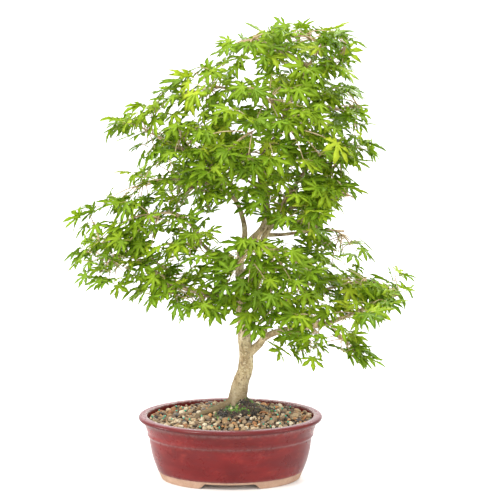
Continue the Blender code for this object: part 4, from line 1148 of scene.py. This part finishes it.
def twig_ends(middle, taken, draw, count):
    """Twig tips in a flattened ball round the middle, each as far as can be from those taken."""
    few = 24
    for _ in range(count):
        tries = unit(draw.normal(size=(few, 3))) * draw.uniform(0.25, 1, (few, 1)) ** 0.5
        tries = tries * PAD_HALF + middle
        inside = within_crown(tries)
        tries = tries[inside] if inside.any() else 0.5 * (tries[:1] + middle)
        gaps = np.linalg.norm(tries[:, None] - np.array(taken)[None], axis=2).min(axis=1)
        taken.append(tries[np.argmax(gaps)])
    return taken[-count:]


def shoot_stems(bough, middle, solid, fills, taken, draw):
    """(route, radius) of the main stem, from the bough's nearest point, and of each twig."""
    gap = np.linalg.norm(solid[:, None] - bough[None], axis=2)
    start = bough[np.unravel_index(np.argmin(gap), gap.shape)[1]]
    main = bow(start, middle, 0.12, 16)
    stems = [(main, STEM_RADIUS)]
    for tip in [*twig_ends(middle, taken, draw, TWIGS_PER_SHOOT), *fills]:
        base = main[int(draw.uniform(0.3, 0.95) * 15)]
        stems.append((bow(base, tip, 0.1, 9), TWIG_RADIUS))
    return stems


def leaf_nodes(stems, draw):
    """Where leaves leave the twigs, which way, and how far along; some are left out by chance."""
    nodes, ways, edge, chances = [], [], [], []
    for line, _ in stems[1:]:
        along = unit(np.gradient(line, axis=0))
        for share, side, chance in LEAF_PLACES:
            spot = int(round(share * (len(line) - 1)))
            beside = unit(np.cross(along[spot], (0, 0, 1.0)))
            spread = side * draw.uniform(0.7, 1.3) + draw.normal(0, 0.15)
            nodes.append(line[spot])
            ways.append(along[spot] * math.cos(spread) + beside * math.sin(spread))
            edge.append(share)
            chances.append(chance)
    keep = draw.random(len(nodes)) < np.array(chances)
    return np.array(nodes)[keep], np.array(ways)[keep], np.array(edge)[keep]


def make_shoot(node, routes, number, fills, taken):
    """The leafy shoot that stands for a packed one: stem, twigs to all sides, stalks and blades."""
    draw = np.random.default_rng(1000 + number)
    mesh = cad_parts[node].data
    solid = np.empty(len(mesh.vertices) * 3)
    mesh.vertices.foreach_get("co", solid)
    solid = solid.reshape(-1, 3)
    middle = (solid.min(axis=0) + solid.max(axis=0)) / 2
    bough = routes[node[len("shoot_"):].rsplit("_", 1)[0]][0]
    stems = shoot_stems(bough, middle, solid, fills, taken, draw)
    shape = Shape()
    for line, radius in stems:
        points, faces = tube(line, np.linspace(radius, 0.55 * radius, len(line)), 6)
        shape.add(points, faces, 2, young=1.0)
    nodes, ways, edge = leaf_nodes(stems, draw)
    count = len(nodes)
    out = unit((nodes - TREE_AXIS) * (1, 1, 0))
    ways = unit(unit(ways * (1, 1, 0.5)) + 0.45 * out)
    ways[:, 2] = draw.uniform(-0.35, 0.4, count)
    ways = unit(ways)
    joints = nodes + ways * STALK_LENGTH * draw.uniform(0.5, 1.3, count)[:, None]
    face = unit(draw.normal(0, 0.4, (count, 3)) + out * draw.uniform(0.0, 1.5, (count, 1))
                + (0, 0, 1.0))
    hang = ways - (0, 0, 1) * draw.uniform(0.0, 0.5, (count, 1))
    hang = unit(hang - face * (hang * face).sum(axis=1, keepdims=True))
    lengths = LEAF_LENGTH * draw.uniform(0.62, 1.12, count) * (1.1 - 0.12 * edge)
    high = (joints[:, 2] - middle[2]) / PAD_HALF[2]
    tones = np.clip(0.42 + 0.1 * high + 0.16 * draw.normal(0, 1, count), 0.02, 0.9)
    tones = np.where(draw.random(count) < LIME_SHARE, draw.uniform(0.75, 1.0, count), tones)
    add_leaves(shape, joints, hang, face, lengths, tones, draw)
    add_stalks(shape, nodes, joints + hang * 1.5 * MM, np.clip(tones * 1.2, 0, 1), draw)
    return shape


# ================================== stage ========================================================

def make_stage():
    """A pale floor that turns up behind in a quarter circle and goes on as a wall."""
    half, bend_from, bend, wall = 3.2, 1.4, 0.9, 2.4
    quarter = np.linspace(0, 1, 25)[1:] * math.pi / 2
    along = np.concatenate([np.linspace(-half, bend_from, 12), bend_from + bend * np.sin(quarter),
                            np.full(6, bend_from + bend)])
    up = np.concatenate([np.zeros(12), bend * (1 - np.cos(quarter)),
                         bend + np.linspace(0.1, wall, 6)])
    x = np.linspace(-half, half, 8)
    points = np.stack(np.broadcast_arrays(x[None, :], along[:, None], up[:, None]), axis=-1)
    floor = Shape()
    floor.add(points, [grid_faces(len(along), len(x), wrap=False)])
    mesh = floor.mesh("floor")
    mesh.shade_smooth()
    finish = Finish("pale_floor")
    finish.set(Roughness=0.7, Base_Color=(0.86, 0.86, 0.86, 1))
    mesh.materials.append(finish.material)
    stage = bpy.data.objects.new("floor", mesh)
    bpy.context.scene.collection.objects.link(stage)


def make_lights():
    """An even white surround, and a disc lamp for each row of the table, turned to its target."""
    scene = bpy.context.scene
    scene.world = bpy.data.worlds.new("studio")
    scene.world.use_nodes = True
    scene.view_settings.view_transform = "Standard"
    surround = scene.world.node_tree.nodes["Background"]
    surround.inputs["Color"].default_value = (1, 1, 1, 1)
    surround.inputs["Strength"].default_value = 1.0
    for name, (where, target, width, power, colour) in LAMPS.items():
        data = bpy.data.lights.new(name, "AREA")
        data.shape = "DISK"
        data.size = width
        data.energy = power
        data.color = colour
        light = bpy.data.objects.new(name, data)
        light.location = where
        aim = Vector(target) - Vector(where)
        light.rotation_euler = aim.to_track_quat("-Z", "Y").to_euler()
        scene.collection.objects.link(light)


def make_camera():
    """A long lens level with the crown, looking a little down, with the pot left of middle."""
    data = bpy.data.cameras.new("camera")
    data.lens = LENS
    data.sensor_width = 36
    camera = bpy.data.objects.new("camera", data)
    camera.location = (POT_X + CAMERA_RIGHT, POT_Y - CAMERA_BACK, CAMERA_HEIGHT)
    camera.rotation_euler = (math.radians(90 - CAMERA_DIP), 0, 0)
    bpy.context.scene.collection.objects.link(camera)
    bpy.context.scene.camera = camera


# ================================== the whole ====================================================

make_camera()
make_stage()
make_lights()

GLAZE, CLAY = red_glaze(), bare_clay()
place("pot_glazed", make_pot(), [GLAZE, CLAY], ["pot"], 50)
place("grit_and_prills", make_grit(), [grit(), prill()], ["gravel_top_dressing"], 35)
place("moss_and_humus", make_moss(), [moss()], ["moss_cushion"])
ROUTES = wood_routes()
BARK = bark()
place("bark_and_wood", make_wood(ROUTES), [BARK], ["trunk_and_boughs"])
LEAF, STALK = leaf_green(), stalk_red()
SHOOTS = sorted(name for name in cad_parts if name.startswith("shoot_"))
MIDDLES = np.array([(np.array(low) + np.array(high)) / 2 for low, high in map(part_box, SHOOTS)])
TIPS = planted(FILL_TIPS)
OWNERS = np.linalg.norm(TIPS[:, None] - MIDDLES[None], axis=2).argmin(axis=1)
TAKEN = list(TIPS)
for index, node in enumerate(SHOOTS):
    leafy = make_shoot(node, ROUTES, index, TIPS[OWNERS == index], TAKEN)
    place(node.replace("shoot_", "leaves_"), leafy, [LEAF, STALK, BARK], [node])

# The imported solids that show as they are.
KEPT = {"potting_soil": soil(), "drainage_screen_left": black_mesh(),
        "drainage_screen_right": black_mesh(), "screen_clip_left": wire(),
        "screen_clip_right": wire(), "root_tie_wire": wire()}
for node, finish in KEPT.items():
    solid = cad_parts[node]
    solid.data.materials.clear()
    solid.data.materials.append(finish)
